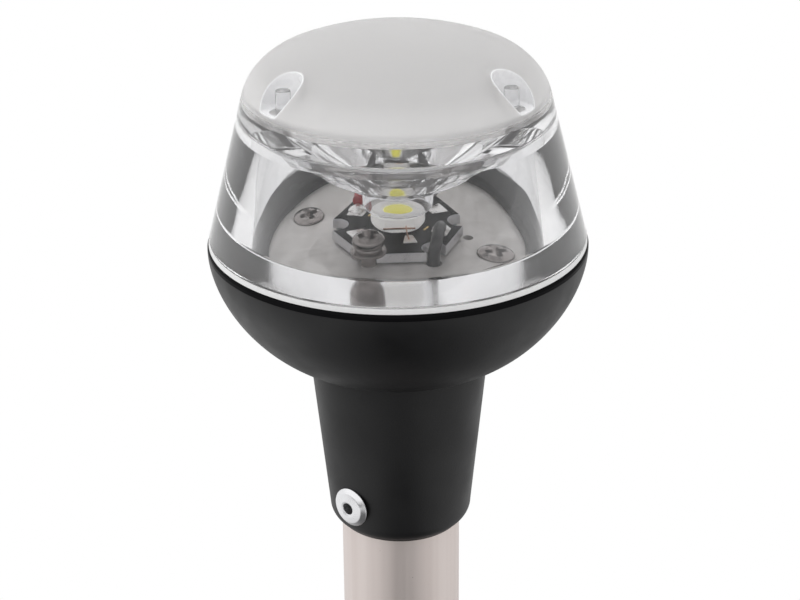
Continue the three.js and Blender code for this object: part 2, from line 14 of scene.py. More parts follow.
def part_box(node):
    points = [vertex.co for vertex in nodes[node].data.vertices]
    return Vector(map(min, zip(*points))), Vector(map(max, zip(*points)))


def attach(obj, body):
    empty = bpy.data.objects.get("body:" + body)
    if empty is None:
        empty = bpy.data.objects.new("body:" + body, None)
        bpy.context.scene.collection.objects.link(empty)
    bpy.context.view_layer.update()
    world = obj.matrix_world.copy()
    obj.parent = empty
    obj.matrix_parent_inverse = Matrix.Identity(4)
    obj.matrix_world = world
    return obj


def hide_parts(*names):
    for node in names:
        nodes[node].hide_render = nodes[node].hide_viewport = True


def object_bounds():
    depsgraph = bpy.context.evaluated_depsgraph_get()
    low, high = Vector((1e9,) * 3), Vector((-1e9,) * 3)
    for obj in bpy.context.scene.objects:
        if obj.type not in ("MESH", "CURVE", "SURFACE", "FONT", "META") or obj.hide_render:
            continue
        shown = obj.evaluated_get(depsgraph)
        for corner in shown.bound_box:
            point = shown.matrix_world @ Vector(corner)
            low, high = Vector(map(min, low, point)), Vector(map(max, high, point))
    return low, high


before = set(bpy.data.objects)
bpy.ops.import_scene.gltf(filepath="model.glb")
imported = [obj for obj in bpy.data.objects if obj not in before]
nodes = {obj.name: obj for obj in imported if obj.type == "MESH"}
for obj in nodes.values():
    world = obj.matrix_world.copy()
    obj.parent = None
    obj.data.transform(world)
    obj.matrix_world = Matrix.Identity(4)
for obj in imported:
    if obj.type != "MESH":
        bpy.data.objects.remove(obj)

cad_low, cad_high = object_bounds()
MM = 0.001

# ---- Where the CAD pieces are ----
LENS_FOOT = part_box("globe_lens")[0].z  # metres: the plane that head heights count from


def head_height(z):
    """A height in the frame, in metres, as millimetres above the lens's foot."""
    return (z - LENS_FOOT) / MM


PLATE_Z = head_height(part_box("heat_sink_plate")[1].z)
STAR_Z = head_height(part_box("star_board")[1].z)
STAR_UNDER_Z = head_height(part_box("star_board")[0].z)
LED_TOP_Z = head_height(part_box("led_body")[1].z)
APEX_Z = head_height(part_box("frosted_cap")[1].z)
MOUTH_Z = head_height(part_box("base_housing")[0].z)
RIM_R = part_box("base_housing")[1].x / MM
POLE_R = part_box("pole")[1].x / MM

# ---- Driving dimensions shared with the CAD, in millimetres ----
LENS_R = 29.17
LENS_DRAFT = 0.2556
SHOULDER_R = 9.46
DOME_R = 46.82
DOME_Z = APEX_Z - DOME_R
CAP_EDGE_Z = 22.8
CAP_WALL = 2.1
RECESS_ANGLES = (-33.5, -145.2, 90.6)
RECESS_AT_R = 20.2
RECESS_R = 3.3
RECESS_FLOOR_Z = 24.2
POST_R = 1.2
POST_AT_R = 19.9
POST_TOP_Z = 27.6
SEAL_INNER_R = 28.15
SEAL_OUTER_R = 29.1
SEAL_TOP_Z = 0.8
LIP_TOP_Z = 0.4
STAR_TURN = 3
STAR_FLAT = 9.8
STAR_NOTCH_AT = 9.8
STAR_NOTCH_R = 1.8
STAR_SCREW_AT = 10.5
STAR_SCREW_ANGLES = (-117.5, 62.5)
WIRE_HOLE_AT = 10.8
WIRE_HOLE_ANGLES = (-64, 116)
PLATE_SCREW_AT = 16
PLATE_SCREW_ANGLES = (-23, 159)
WIRE_R = 0.9
SMALL_HOLE_R = 0.75
SMALL_HOLE_AT = 11.2
SMALL_HOLE_ANGLE = -7
LED_R = 4.3
LED_FLAT = 3.7
RIVET_ANGLES = (-130.3, 49.7)
RIVET_Z = -42.55
RIVET_HEAD_R = 3.2
SOCKET_TAPER = 0.092
SOCKET_MOUTH_R = 11.38
SOCKET_ROUND = 2.7

# ---- More dimensions of the fine pieces, in millimetres ----
FIT = 0.05  # clearance round the lens's seat and seal
CUP_R = 4.4  # of the wall round each scallop
PLATE_R = 20.2
PLATE_T = 2
SCREW_SINK_R = 2.9
SHANK_R = 1.35  # of the plate screws' clearance holes
WIRE_HOLE_R = 1.2
LIP_INNER_R = 20.35
LIP_OUTER_R = 22.5
MASK_T = 0.12  # of the black mask on the star board
COIL_R = 1.85  # of the spring washers' middle line
PAD_T = 0.09
POLE_WALL = 1.2

# ---- Numbers of facets and steps ----
SIDES = 192  # of the large rounds
RECESS_SIDES = 96
SMALL_SIDES = 64  # of screws and the like
SHOULDER_STEPS = 14
DOME_STEPS = 18
BOWL_STEPS = 40
COIL_STEPS = 12
NOTCH_STEPS = 12


# ---------------------------------------------------------------- mesh helpers
def on_circle(radius, degrees):
    angle = math.radians(degrees)
    return radius * math.cos(angle), radius * math.sin(angle)


def arc(centre, radius, start, end, steps):
    """Points of an arc about centre, from one angle to another in degrees, both ends included."""
    points = []
    for i in range(steps + 1):
        angle = math.radians(start + (end - start) * i / steps)
        points.append((centre[0] + radius * math.cos(angle), centre[1] + radius * math.sin(angle)))
    return points


def eased(corners, closed=False, steps=5):
    """An outline whose corners (x, y, rounding) are replaced by arcs of that rounding."""
    count = len(corners)
    outline = []
    for i, corner in enumerate(corners):
        point = Vector(corner[:2])
        rounding = corner[2] if len(corner) > 2 else 0
        end = not closed and i in (0, count - 1)
        if rounding == 0 or end:
            outline.append(tuple(point))
            continue
        before = Vector(corners[i - 1][:2]) - point
        after = Vector(corners[(i + 1) % count][:2]) - point
        half = before.angle(after) / 2
        reach = min(rounding / math.tan(half), 0.49 * before.length, 0.49 * after.length)
        start = point + before.normalized() * reach
        stop = point + after.normalized() * reach
        for k in range(steps + 1):
            t = k / steps
            outline.append(tuple(start * (1 - t) ** 2 + point * (2 * t * (1 - t)) + stop * t ** 2))
    return outline


def add_piece(name, mesh, material, replaced=None, smooth=35, turn=0, body="light"):
    """Turns a mesh in head millimetres into a finished piece, which may replace a CAD node."""
    spin = Matrix.Rotation(math.radians(turn), 4, "Z")
    mesh.transform(Matrix.Translation((0, 0, LENS_FOOT)) @ Matrix.Scale(MM, 4) @ spin)
    mesh.shade_smooth()
    mesh.set_sharp_from_angle(angle=math.radians(smooth))
    piece = bpy.data.objects.new(name, mesh)
    bpy.context.scene.collection.objects.link(piece)
    mesh.materials.append(material)
    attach(piece, body)
    if replaced is not None:
        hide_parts(replaced)


def add_to_star(name, mesh, material, replaced=None):
    """A piece that stands on the star board, and so turns with it."""
    add_piece(name, mesh, material, replaced, turn=STAR_TURN)


def mesh_from(name, build):
    """A mesh made by build(bm), with its normals turned outward."""
    bm = bmesh.new()
    build(bm)
    bmesh.ops.remove_doubles(bm, verts=bm.verts, dist=1e-5)
    bmesh.ops.recalc_face_normals(bm, faces=bm.faces)
    mesh = bpy.data.meshes.new(name)
    bm.to_mesh(mesh)
    bm.free()
    return mesh


def turned(name, outline, sides=SIDES, place=None):
    """A closed body of revolution about Z from (radius, height) points.

    The outline starts and ends on the axis, or closes on itself."""
    def build(bm):
        loops = []
        for radius, height in outline:
            if radius < 1e-6:
                loops.append([bm.verts.new((0, 0, height))])
                continue
            turn = [on_circle(radius, 360 * k / sides) for k in range(sides)]
            loops.append([bm.verts.new((x, y, height)) for x, y in turn])
        on_axis = outline[0][0] < 1e-6
        pairs = list(zip(loops, loops[1:]))
        if not on_axis:
            pairs.append((loops[-1], loops[0]))
        for low, high in pairs:
            for k in range(sides):
                n = (k + 1) % sides
                if len(low) == 1 and len(high) == 1:
                    continue
                if len(low) == 1:
                    bm.faces.new((low[0], high[n], high[k]))
                elif len(high) == 1:
                    bm.faces.new((low[k], low[n], high[0]))
                else:
                    bm.faces.new((low[k], low[n], high[n], high[k]))
        if place is not None:
            bmesh.ops.transform(bm, matrix=place, verts=bm.verts)
    return mesh_from(name, build)


def prism(name, outline, low, high, bevel=0.0, place=None):
    """A flat outline of (x, y) points raised from low to high, its rims eased by a small bevel."""
    def build(bm):
        floor = bm.faces.new([bm.verts.new((x, y, low)) for x, y in outline])
        raised = bmesh.ops.extrude_face_region(bm, geom=[floor])
        moved = [item for item in raised["geom"] if isinstance(item, bmesh.types.BMVert)]
        bmesh.ops.translate(bm, vec=(0, 0, high - low), verts=moved)
        if bevel:
            rims = [e for e in bm.edges if abs(e.verts[0].co.z - e.verts[1].co.z) < 1e-6]
            bmesh.ops.bevel(bm, geom=rims, offset=bevel, segments=2, affect="EDGES", profile=0.5)
        if place is not None:
            bmesh.ops.transform(bm, matrix=place, verts=bm.verts)
    return mesh_from(name, build)


def smooth_path(points, steps):
    """Points of a Catmull-Rom curve through the given points."""
    through = [Vector(p) for p in points]
    through = [2 * through[0] - through[1]] + through + [2 * through[-1] - through[-2]]
    path = []
    for i in range(1, len(through) - 2):
        a, b, c, d = through[i - 1:i + 3]
        for k in range(steps):
            t = k / steps
            path.append(0.5 * ((2 * b) + (c - a) * t + (2 * a - 5 * b + 4 * c - d) * t ** 2
                               + (3 * b - a - 3 * c + d) * t ** 3))
    path.append(through[-2])
    return path


def swept(name, points, radius, steps=8, sides=20, width=None):
    """A rod of round section, or a flat one where width is given, along a smooth curve."""
    path = smooth_path(points, steps)

    def build(bm):
        normal = Vector((0.31, 0.95, 0.05))
        rings = []
        for i, point in enumerate(path):
            ahead = path[min(i + 1, len(path) - 1)] - path[max(i - 1, 0)]
            tangent = ahead.normalized()
            normal = (normal - tangent * normal.dot(tangent)).normalized()
            side = tangent.cross(normal)
            ring = []
            for k in range(sides):
                across, up = on_circle(1, 360 * k / sides)
                ring.append(bm.verts.new(point + side * across * (width or radius) + normal * up * radius))
            rings.append(ring)
        for low, high in zip(rings, rings[1:]):
            for k in range(sides):
                n = (k + 1) % sides
                bm.faces.new((low[k], low[n], high[n], high[k]))
        bm.faces.new(rings[0])
        bm.faces.new(rings[-1])
    return mesh_from(name, build)


def carved(mesh, cutters, operation="DIFFERENCE"):
    """The mesh with the cutter meshes taken out of it, one after the other."""
    piece = bpy.data.objects.new("carving", mesh)
    bpy.context.scene.collection.objects.link(piece)
    tools = []
    for cutter in cutters:
        tool = bpy.data.objects.new("cutter", cutter)
        bpy.context.scene.collection.objects.link(tool)
        tools.append(tool)
        modifier = piece.modifiers.new("cut", "BOOLEAN")
        modifier.operation = operation
        modifier.solver = "EXACT"
        modifier.object = tool
    graph = bpy.context.evaluated_depsgraph_get()
    result = bpy.data.meshes.new_from_object(piece.evaluated_get(graph))
    result.materials.clear()
    for thing in [piece, *tools]:
        bpy.data.objects.remove(thing)
    return result


def shifted(x, y, z=0.0, turn=0.0):
    return Matrix.Translation((x, y, z)) @ Matrix.Rotation(math.radians(turn), 4, "Z")


def polar(radius, degrees, z=0.0, turn=0.0):
    return shifted(*on_circle(radius, degrees), z, turn)


def facing_out(degrees, z):
    """Takes what is made along +Z to point outward from the pole's axis."""
    return (Matrix.Translation((0, 0, z)) @ Matrix.Rotation(math.radians(degrees), 4, "Z")
            @ Matrix.Rotation(math.radians(90), 4, "Y"))


# ---------------------------------------------------------------- material helpers
def tune(node, **values):
    """Gives a node's inputs constant values, with _ for each space in their names."""
    for key, value in values.items():
        node.inputs[key.replace("_", " ")].default_value = value


class Finish:
    """A node material with short calls for the few nodes that these finishes share."""

    def __init__(self, name):
        self.material = bpy.data.materials.new(name)
        self.material.use_nodes = True
        self.tree = self.material.node_tree
        self.shader = self.tree.nodes["Principled BSDF"]
        self.output = self.tree.nodes["Material Output"]
        self.place = self.node("ShaderNodeTexCoord").outputs["Object"]

    def node(self, kind, **values):
        made = self.tree.nodes.new(kind)
        for key, value in values.items():
            setattr(made, key, value)
        return made

    def link(self, source, target):
        self.tree.links.new(source, target)

    def set(self, **values):
        tune(self.shader, **values)

    def stretched(self, scale):
        mapping = self.node("ShaderNodeMapping")
        tune(mapping, Scale=scale)
        self.link(self.place, mapping.inputs["Vector"])
        return mapping.outputs["Vector"]

    def noise(self, scale, detail=2.0, roughness=0.5, vector=None, distortion=0.0):
        noise = self.node("ShaderNodeTexNoise")
        tune(noise, Scale=scale, Detail=detail, Roughness=roughness, Distortion=distortion)
        self.link(vector or self.place, noise.inputs["Vector"])
        return noise.outputs["Fac"]

    def spread(self, source, low, high, start=0.3, stop=0.7):
        """source from start to stop, spread over low to high."""
        ramp = self.node("ShaderNodeMapRange")
        tune(ramp, From_Min=start, From_Max=stop, To_Min=low, To_Max=high)
        self.link(source, ramp.inputs["Value"])
        return ramp.outputs["Result"]

    def blend(self, factor, low, high):
        """A colour between low and high, by factor."""
        mix = self.node("ShaderNodeMix", data_type="RGBA")
        self.link(factor, mix.inputs["Factor"])
        for socket, value in ((mix.inputs[6], low), (mix.inputs[7], high)):
            if isinstance(value, bpy.types.NodeSocket):
                self.link(value, socket)
            else:
                socket.default_value = (*value, 1)
        return mix.outputs[2]

    def bump(self, height, strength, distance):
        bump = self.node("ShaderNodeBump")
        tune(bump, Strength=strength, Distance=distance)
        self.link(height, bump.inputs["Height"])
        return bump.outputs["Normal"]

    def height(self):
        parts = self.node("ShaderNodeSeparateXYZ")
        self.link(self.place, parts.inputs[0])
        return parts.outputs["Z"]

    def length(self, vector):
        step = self.node("ShaderNodeVectorMath", operation="LENGTH")
        self.link(vector, step.inputs[0])
        return step.outputs["Value"]

    def reckon(self, operation, one, other):
        step = self.node("ShaderNodeMath", operation=operation)
        self.link(one, step.inputs[0])
        self.link(other, step.inputs[1])
        return step.outputs[0]

    def haze(self, share, colour):
        """Scatters the given share of the light, and leaves the rest as the shader has it."""
        scattered = self.node("ShaderNodeBsdfTranslucent")
        tune(scattered, Color=(*colour, 1))
        mix = self.node("ShaderNodeMixShader")
        self.link(share, mix.inputs[0])
        self.link(self.shader.outputs[0], mix.inputs[1])
        self.link(scattered.outputs[0], mix.inputs[2])
        self.link(mix.outputs[0], self.output.inputs["Surface"])

    def feed(self, **sources):
        for key, source in sources.items():
            self.link(source, self.shader.inputs[key.replace("_", " ")])


POLYCARBONATE_IOR = 1.585


def clear_lens_finish():
    """Clear moulded polycarbonate with faint flow ripples.

    The stepped funnel in the middle is slightly hazy, and the sloping foot inside the wall is satin."""
    f = Finish("clear_polycarbonate")
    radius = f.length(f.stretched((1, 1, 0)))
    height = f.height()
    inner = f.spread(radius, 1, 0, 21.4 * MM, 21.9 * MM)
    raised = f.spread(height, 0, 1, LENS_FOOT + 7.5 * MM, LENS_FOOT + 10 * MM)
    funnel = f.reckon("MULTIPLY", inner, raised)
    within_wall = f.spread(radius, 1, 0, 27 * MM, 27.5 * MM)
    low_down = f.spread(height, 1, 0, LENS_FOOT + 2.4 * MM, LENS_FOOT + 3.2 * MM)
    foot = f.reckon("MULTIPLY", within_wall, low_down)
    ripple = f.noise(90, 1.5, vector=f.stretched((1, 1, 0.35)))
    f.set(IOR=POLYCARBONATE_IOR, Transmission_Weight=1.0)
    f.feed(
        # The walls are tinted slightly grey and the funnel clearer; the funnel's clearer tint is painted light
        # that keeps it bright through its many surfaces.
        Base_Color=f.blend(funnel, (0.935, 0.935, 0.945), (0.995, 0.995, 1.0)),
        Roughness=f.spread(foot, 0.025, 0.09, 0, 1),
        Normal=f.bump(ripple, 0.12, 0.0012),
    )
    f.haze(f.spread(funnel, 0.025, 0.08, 0, 1), (1.0, 1.0, 1.0))
    return f.material


def frosted_finish():
    """Finely frosted polycarbonate that clears towards the cap's edge.

    It glows with the light around it and shows only the shapes that are close behind."""
    f = Finish("frosted_polycarbonate")
    speckle = f.noise(2600, 2, 0.6)
    height = f.height()
    edge = LENS_FOOT + CAP_EDGE_Z * MM
    frost = f.spread(height, 0, 1, edge + 0.1 * MM, edge + 1.5 * MM)
    clear_edge = f.spread(height, 0.95, 0.12, edge + 0.5 * MM, edge + 1.9 * MM)
    thin_top = f.spread(height, 0.12, 0.62, edge + 1.9 * MM, edge + 5.5 * MM)
    f.set(Base_Color=(0.97, 0.962, 0.955, 1), IOR=POLYCARBONATE_IOR)
    f.feed(
        Roughness=f.spread(frost, 0.1, 0.42, 0, 1),
        Transmission_Weight=f.reckon("MAXIMUM", clear_edge, thin_top),
        Normal=f.bump(speckle, 0.25, 0.00006),
    )
    f.haze(f.spread(frost, 0.05, 0.35, 0, 1), (0.98, 0.975, 0.98))
    return f.material


def recess_finish():
    """Smooth white for the cap's scallops: painted light, a lit copy of the frosted cap made whiter for the
    light that falls in from above.
    """
    f = Finish("recess_painted_light_white")
    tone = f.noise(500, 2)
    f.feed(
        Base_Color=f.blend(tone, (0.88, 0.88, 0.89), (0.97, 0.97, 0.98)),
        Roughness=f.spread(tone, 0.2, 0.35),
    )
    return f.material


def nylon_finish(name, grain, rough_low, rough_high, gloss):
    """Black moulded nylon: fine spark-eroded grain, and a slight unevenness of the gloss."""
    f = Finish(name)
    fine = f.noise(3400, 2, 0.6)
    broad = f.noise(120, 3, 0.55)
    f.feed(
        Base_Color=f.blend(broad, (0.004, 0.004, 0.0043), (0.007, 0.007, 0.0078)),
        Roughness=f.spread(broad, rough_low, rough_high),
        Normal=f.bump(fine, grain, 0.00005),
    )
    f.set(IOR=1.5, Specular_IOR_Level=gloss)
    return f.material


def plate_finish():
    """Satin aluminium with short rubbed marks and dull blotches."""
    f = Finish("plate_aluminium")
    smudge = f.noise(170, 4, 0.6, distortion=0.6)
    rubbed = f.noise(900, 3, 0.7, vector=f.stretched((1, 0.16, 1)))
    f.set(Metallic=0.6)
    f.feed(
        Base_Color=f.blend(smudge, (0.50, 0.475, 0.45), (0.99, 0.965, 0.94)),
        Roughness=f.spread(rubbed, 0.46, 0.64),
        Normal=f.bump(rubbed, 0.14, 0.00006),
    )
    return f.material


def pole_finish():
    """Drawn aluminium tube: long lines along it, a slightly uneven warm tone and small pits."""
    f = Finish("pole_aluminium")
    lines = f.noise(1500, 3, 0.6, vector=f.stretched((1, 1, 0.006)))
    tone = f.noise(260, 2, 0.5, vector=f.stretched((1, 1, 0.03)))
    pits = f.spread(f.noise(2200, 1), 0, 1, 0.78, 0.82)
    base = f.blend(tone, (0.62, 0.54, 0.51), (0.76, 0.69, 0.66))
    f.set(Metallic=0.6)
    f.feed(
        Base_Color=f.blend(pits, base, (0.35, 0.3, 0.28)),
        Roughness=f.spread(lines, 0.36, 0.54),
        Normal=f.bump(lines, 0.10, 0.00004),
    )
    return f.material


def metal_finish(name, low, high, rough_low, rough_high, scale=700, dents=0.1):
    """Bright metal with fine handling marks."""
    f = Finish(name)
    marks = f.noise(scale, 4, 0.65, distortion=0.4)
    f.set(Metallic=1.0)
    f.feed(
        Base_Color=f.blend(marks, low, high),
        Roughness=f.spread(marks, rough_low, rough_high),
        Normal=f.bump(marks, dents, 0.00006),
    )
    return f.material


def plastic_finish(name, low, high, rough_low, rough_high, scale=900, grain=0.08, **values):
    """Moulded or sleeved plastic with a slight change of tone and gloss."""
    f = Finish(name)
    tone = f.noise(scale, 3, 0.55)
    f.set(**values)
    f.feed(
        Base_Color=f.blend(tone, low, high),
        Roughness=f.spread(tone, rough_low, rough_high),
        Normal=f.bump(tone, grain, 0.00005),
    )
    return f.material


CLEAR = clear_lens_finish()
FROSTED = frosted_finish()
RECESS_PAINTED_LIGHT = recess_finish()
NYLON = nylon_finish("black_nylon", 0.35, 0.40, 0.54, 0.33)
NYLON_SMOOTH = nylon_finish("black_nylon_smooth", 0.08, 0.26, 0.4, 0.02)
PLATE = plate_finish()
POLE = pole_finish()
RIVET = metal_finish("rivet_aluminium", (0.70, 0.70, 0.71), (0.86, 0.86, 0.88), 0.22, 0.4)
STEEL = metal_finish("stainless_steel", (0.13, 0.115, 0.11), (0.34, 0.31, 0.295), 0.06, 0.16)
COPPER = metal_finish("copper_strip", (0.60, 0.36, 0.26), (0.75, 0.50, 0.38), 0.25, 0.4)
GOLD = metal_finish("gold_track", (0.72, 0.52, 0.20), (0.85, 0.66, 0.32), 0.2, 0.35)
SOLDER = metal_finish("solder", (0.62, 0.60, 0.58), (0.85, 0.84, 0.83), 0.2, 0.42, 1600, 0.35)
CORE = metal_finish("board_core", (0.62, 0.62, 0.64), (0.80, 0.80, 0.82), 0.25, 0.45, 1100, 0.2)
BRASS = metal_finish("pin_brass", (0.66, 0.45, 0.18), (0.80, 0.60, 0.30), 0.16, 0.3)
MASK = plastic_finish("black_board", (0.003, 0.003, 0.003), (0.008, 0.008, 0.008), 0.4, 0.6,
                      Specular_IOR_Level=0.08)
GREEN = plastic_finish("green_board", (0.01, 0.07, 0.02), (0.02, 0.12, 0.04), 0.3, 0.45)
# The LED's body and its yellow window glow by their emission: a painted glow, as the LED is not switched on.
LED_WHITE_PAINTED_GLOW = plastic_finish("led_white", (0.96, 0.95, 0.92), (1.0, 0.99, 0.97), 0.25, 0.4,
                           Emission_Color=(1, 0.98, 0.95, 1), Emission_Strength=0.28)
PHOSPHOR_PAINTED_GLOW = plastic_finish("led_yellow", (0.86, 0.82, 0.03), (0.98, 0.95, 0.14), 0.18, 0.3,
                          Emission_Color=(1, 0.93, 0.12, 1), Emission_Strength=0.4)
RED = plastic_finish("red_sleeve", (0.42, 0.006, 0.01), (0.60, 0.015, 0.02), 0.25, 0.4)
BLACK_SLEEVE = plastic_finish("black_sleeve", (0.006, 0.006, 0.006), (0.02, 0.02, 0.02), 0.25, 0.4)
RUBBER = plastic_finish("black_rubber", (0.008, 0.008, 0.008), (0.018, 0.018, 0.018), 0.6, 0.8)
SEAL = plastic_finish("white_seal", (0.78, 0.78, 0.78), (0.88, 0.88, 0.88), 0.35, 0.5)
PAD = plastic_finish("grey_thermal_pad", (0.3, 0.32, 0.33), (0.4, 0.42, 0.43), 0.7, 0.9)


# ---------------------------------------------------------------- camera and studio
def camera():
    """A 95 mm lens about 0.3 m off, looking down on the head as in the photograph."""
    data = bpy.data.cameras.new("camera")
    data.lens = 95
    data.sensor_width = 36
    data.shift_x = 0.0018
    data.clip_start = 0.01
    data.clip_end = 50
    made = bpy.data.objects.new("camera", data)
    bpy.context.scene.collection.objects.link(made)
    made.matrix_world = (
        Matrix.Translation((0, -0.30036, LENS_FOOT + 0.12518))
        @ Matrix.Rotation(math.radians(90 - 24.362), 4, "X")
        @ Matrix.Rotation(math.radians(-0.588), 4, "Z")
    )
    bpy.context.scene.camera = made


def studio_world():
    """A white tent: bright above, behind and to the left, less so to the right, and dim low in front."""
    world = bpy.data.worlds.new("studio")
    bpy.context.scene.world = world
    world.use_nodes = True
    tree = world.node_tree
    place = tree.nodes.new("ShaderNodeTexCoord")
    parts = tree.nodes.new("ShaderNodeSeparateXYZ")
    tree.links.new(place.outputs["Generated"], parts.inputs[0])

    def ramp(axis, start, stop, low, high):
        made = tree.nodes.new("ShaderNodeMapRange")
        made.interpolation_type = "SMOOTHSTEP"
        tune(made, From_Min=start, From_Max=stop, To_Min=low, To_Max=high)
        tree.links.new(parts.outputs[axis], made.inputs["Value"])
        return made.outputs["Result"]

    def reckon(operation, one, other):
        step = tree.nodes.new("ShaderNodeMath")
        step.operation = operation
        tree.links.new(one, step.inputs[0])
        tree.links.new(other, step.inputs[1])
        return step.outputs[0]

    around = reckon("MAXIMUM", ramp("Y", -0.7, -0.1, 0.12, 1.0), ramp("Z", 0.1, 0.4, 0.0, 1.2))
    strength = reckon("MULTIPLY", around, ramp("X", 0.25, 0.9, 1.0, 0.62))
    tree.links.new(strength, tree.nodes["Background"].inputs["Strength"])
    tune(tree.nodes["Background"], Color=(1, 1, 1, 1))


def pale_floor():
    """A wide white floor under the light. It is dim in front, like the studio, except to the camera."""
    half = 6.0
    low = cad_low.z - 0.0005
    corners = [(-half, -half, low), (half, -half, low), (half, half, low), (-half, half, low)]
    mesh = bpy.data.meshes.new("floor")
    mesh.from_pydata(corners, [], [(0, 1, 2, 3)])
    floor = bpy.data.objects.new("floor", mesh)
    bpy.context.scene.collection.objects.link(floor)
    f = Finish("floor")
    mapping = f.node("ShaderNodeMapping")
    tune(mapping, Location=(-0.1, 0.457, 0), Scale=(1 / 0.16, 1 / 0.7, 0))
    f.link(f.place, mapping.inputs["Vector"])
    glow = f.spread(f.length(mapping.outputs["Vector"]), 0.06, 1.0, 0.45, 1.3)
    seen = f.node("ShaderNodeLightPath").outputs["Is Camera Ray"]
    strength = f.node("ShaderNodeMix", data_type="FLOAT")
    f.link(seen, strength.inputs[0])
    f.link(glow, strength.inputs[2])
    strength.inputs[3].default_value = 1.0
    emission = f.node("ShaderNodeEmission")
    f.link(strength.outputs[0], emission.inputs["Strength"])
    f.link(emission.outputs[0], f.output.inputs["Surface"])
    mesh.materials.append(f.material)


camera()
studio_world()
pale_floor()
bpy.context.scene.view_settings.view_transform = "Standard"


# ---------------------------------------------------------------- lens and cap
def wall_radius(z):
    return LENS_R - LENS_DRAFT * z


def shoulder_middle():
    """The centre of the arc that joins the drafted wall to the dome."""
    offset = LENS_R - SHOULDER_R / math.cos(math.atan(LENS_DRAFT))
    reach = DOME_R - SHOULDER_R
    a = 1 + LENS_DRAFT ** 2
    b = -2 * (offset * LENS_DRAFT + DOME_Z)
    c = offset ** 2 + DOME_Z ** 2 - reach ** 2
    z = (-b + math.sqrt(b * b - 4 * a * c)) / (2 * a)
    return offset - LENS_DRAFT * z, z


def cap_skin(inset):
    """The cap's outline from its edge to the axis, inset by a wall thickness."""
    centre = shoulder_middle()
    lean = math.degrees(math.atan(LENS_DRAFT))
    dome = math.degrees(math.atan2(centre[1] - DOME_Z, centre[0]))
    edge = wall_radius(CAP_EDGE_Z) - inset / math.cos(math.radians(lean))
    shoulder = arc(centre, SHOULDER_R - inset, lean, dome, SHOULDER_STEPS)
    skin = [(edge, CAP_EDGE_Z)]
    skin += [point for point in shoulder if point[1] > CAP_EDGE_Z]
    skin += arc((0, DOME_Z), DOME_R - inset, dome, 90, DOME_STEPS)[1:-1]
    return skin + [(0, APEX_Z - inset)]


# From over the LED up the funnel's steps, down inside the wall to its flared foot, then up the outside
# to the cap's edge and down the funnel's hollow.
LENS_CORNERS = (
    (0, 7.0), (2.6, 6.9), (4.7, 6.6, 0.2), (4.9, 3.9, 0.1), (5.7, 3.9, 0.2), (5.7, 7.2, 0.15),
    (10.3, 9.3, 0.2), (11.6, 10.7, 0.15), (13.1, 11.1, 0.15), (13.9, 13.1, 0.15), (16.2, 13.8, 0.15),
    (17.3, 16.1, 0.15), (20.7, 19.5, 0.8), (21.3, 17.5, 0.5), (22.6, 3, 0.8), (26.4, 0, 0.25),
    (SEAL_INNER_R - FIT, 0, 0.1), (SEAL_INNER_R - FIT, SEAL_TOP_Z + FIT),
    (wall_radius(SEAL_TOP_Z + FIT), SEAL_TOP_Z + FIT, 0.08),
    (wall_radius(CAP_EDGE_Z - FIT), CAP_EDGE_Z - FIT), (19.8, CAP_EDGE_Z - FIT),
    (17, 21.5, 0.5), (1, 8.3, 0.4), (0, 8.0),
)


def build_lens():
    mesh = turned("lens", eased(LENS_CORNERS))
    add_piece("lens", mesh, CLEAR, "globe_lens")
    for i, degrees in enumerate(RECESS_ANGLES):
        root = RECESS_FLOOR_Z - 0.4
        outline = eased([(0, root), (POST_R, root), (POST_R - 0.1, POST_TOP_Z, 0.12), (0, POST_TOP_Z)])
        post = turned(f"lens_post_{i}", outline, SMALL_SIDES, polar(POST_AT_R, degrees))
        add_piece(f"lens_post_{i}", post, CLEAR)


def build_cap():
    """The frosted dome. Each scallop is a cup let into it, with a flat floor behind the lens's post."""
    outside = cap_skin(0)
    inside = cap_skin(CAP_WALL)
    shell = turned("cap", outside + inside[::-1])
    under_skin = outside + [(0, CAP_EDGE_Z)]
    for degrees in RECESS_ANGLES:
        place = polar(RECESS_AT_R, degrees)
        block = [(0, CAP_EDGE_Z + 0.1), (CUP_R, CAP_EDGE_Z + 0.1), (CUP_R, APEX_Z), (0, APEX_Z)]
        cup = turned("cup", block, SMALL_SIDES, place)
        cup = carved(cup, [turned("under", under_skin)], "INTERSECT")
        shell = carved(shell, [cup], "UNION")
    for degrees in RECESS_ANGLES:
        place = polar(RECESS_AT_R, degrees)
        hollow = eased([
            (0, RECESS_FLOOR_Z), (RECESS_R, RECESS_FLOOR_Z, 0.5), (RECESS_R + 0.1, APEX_Z + 1),
            (0, APEX_Z + 1),
        ])
        shell = carved(shell, [turned("hollow", hollow, RECESS_SIDES, place)])
    add_piece("cap", shell, FROSTED, "frosted_cap", smooth=28)
    # A thin white liner in each scallop paints the light that falls in from above; the frosted cap has no such
    # part.
    for i, degrees in enumerate(RECESS_ANGLES):
        liner = eased([
            (POST_R + 0.6, RECESS_FLOOR_Z + 0.02), (RECESS_R - 0.02, RECESS_FLOOR_Z + 0.02, 0.5),
            (RECESS_R + 0.06, APEX_Z), (RECESS_R - 0.1, APEX_Z), (RECESS_R - 0.2, RECESS_FLOOR_Z + 0.17, 0.4),
            (POST_R + 0.6, RECESS_FLOOR_Z + 0.17),
        ], closed=True)
        liner = turned("liner", liner, RECESS_SIDES, polar(RECESS_AT_R, degrees))
        liner = carved(liner, [turned("under", cap_skin(0.04) + [(0, CAP_EDGE_Z)])], "INTERSECT")
        add_piece(f"recess_painted_light_liner_{i}", liner, RECESS_PAINTED_LIGHT)


# ---------------------------------------------------------------- base housing
def socket_radius(z):
    return SOCKET_MOUTH_R + SOCKET_TAPER * (z - MOUTH_Z)


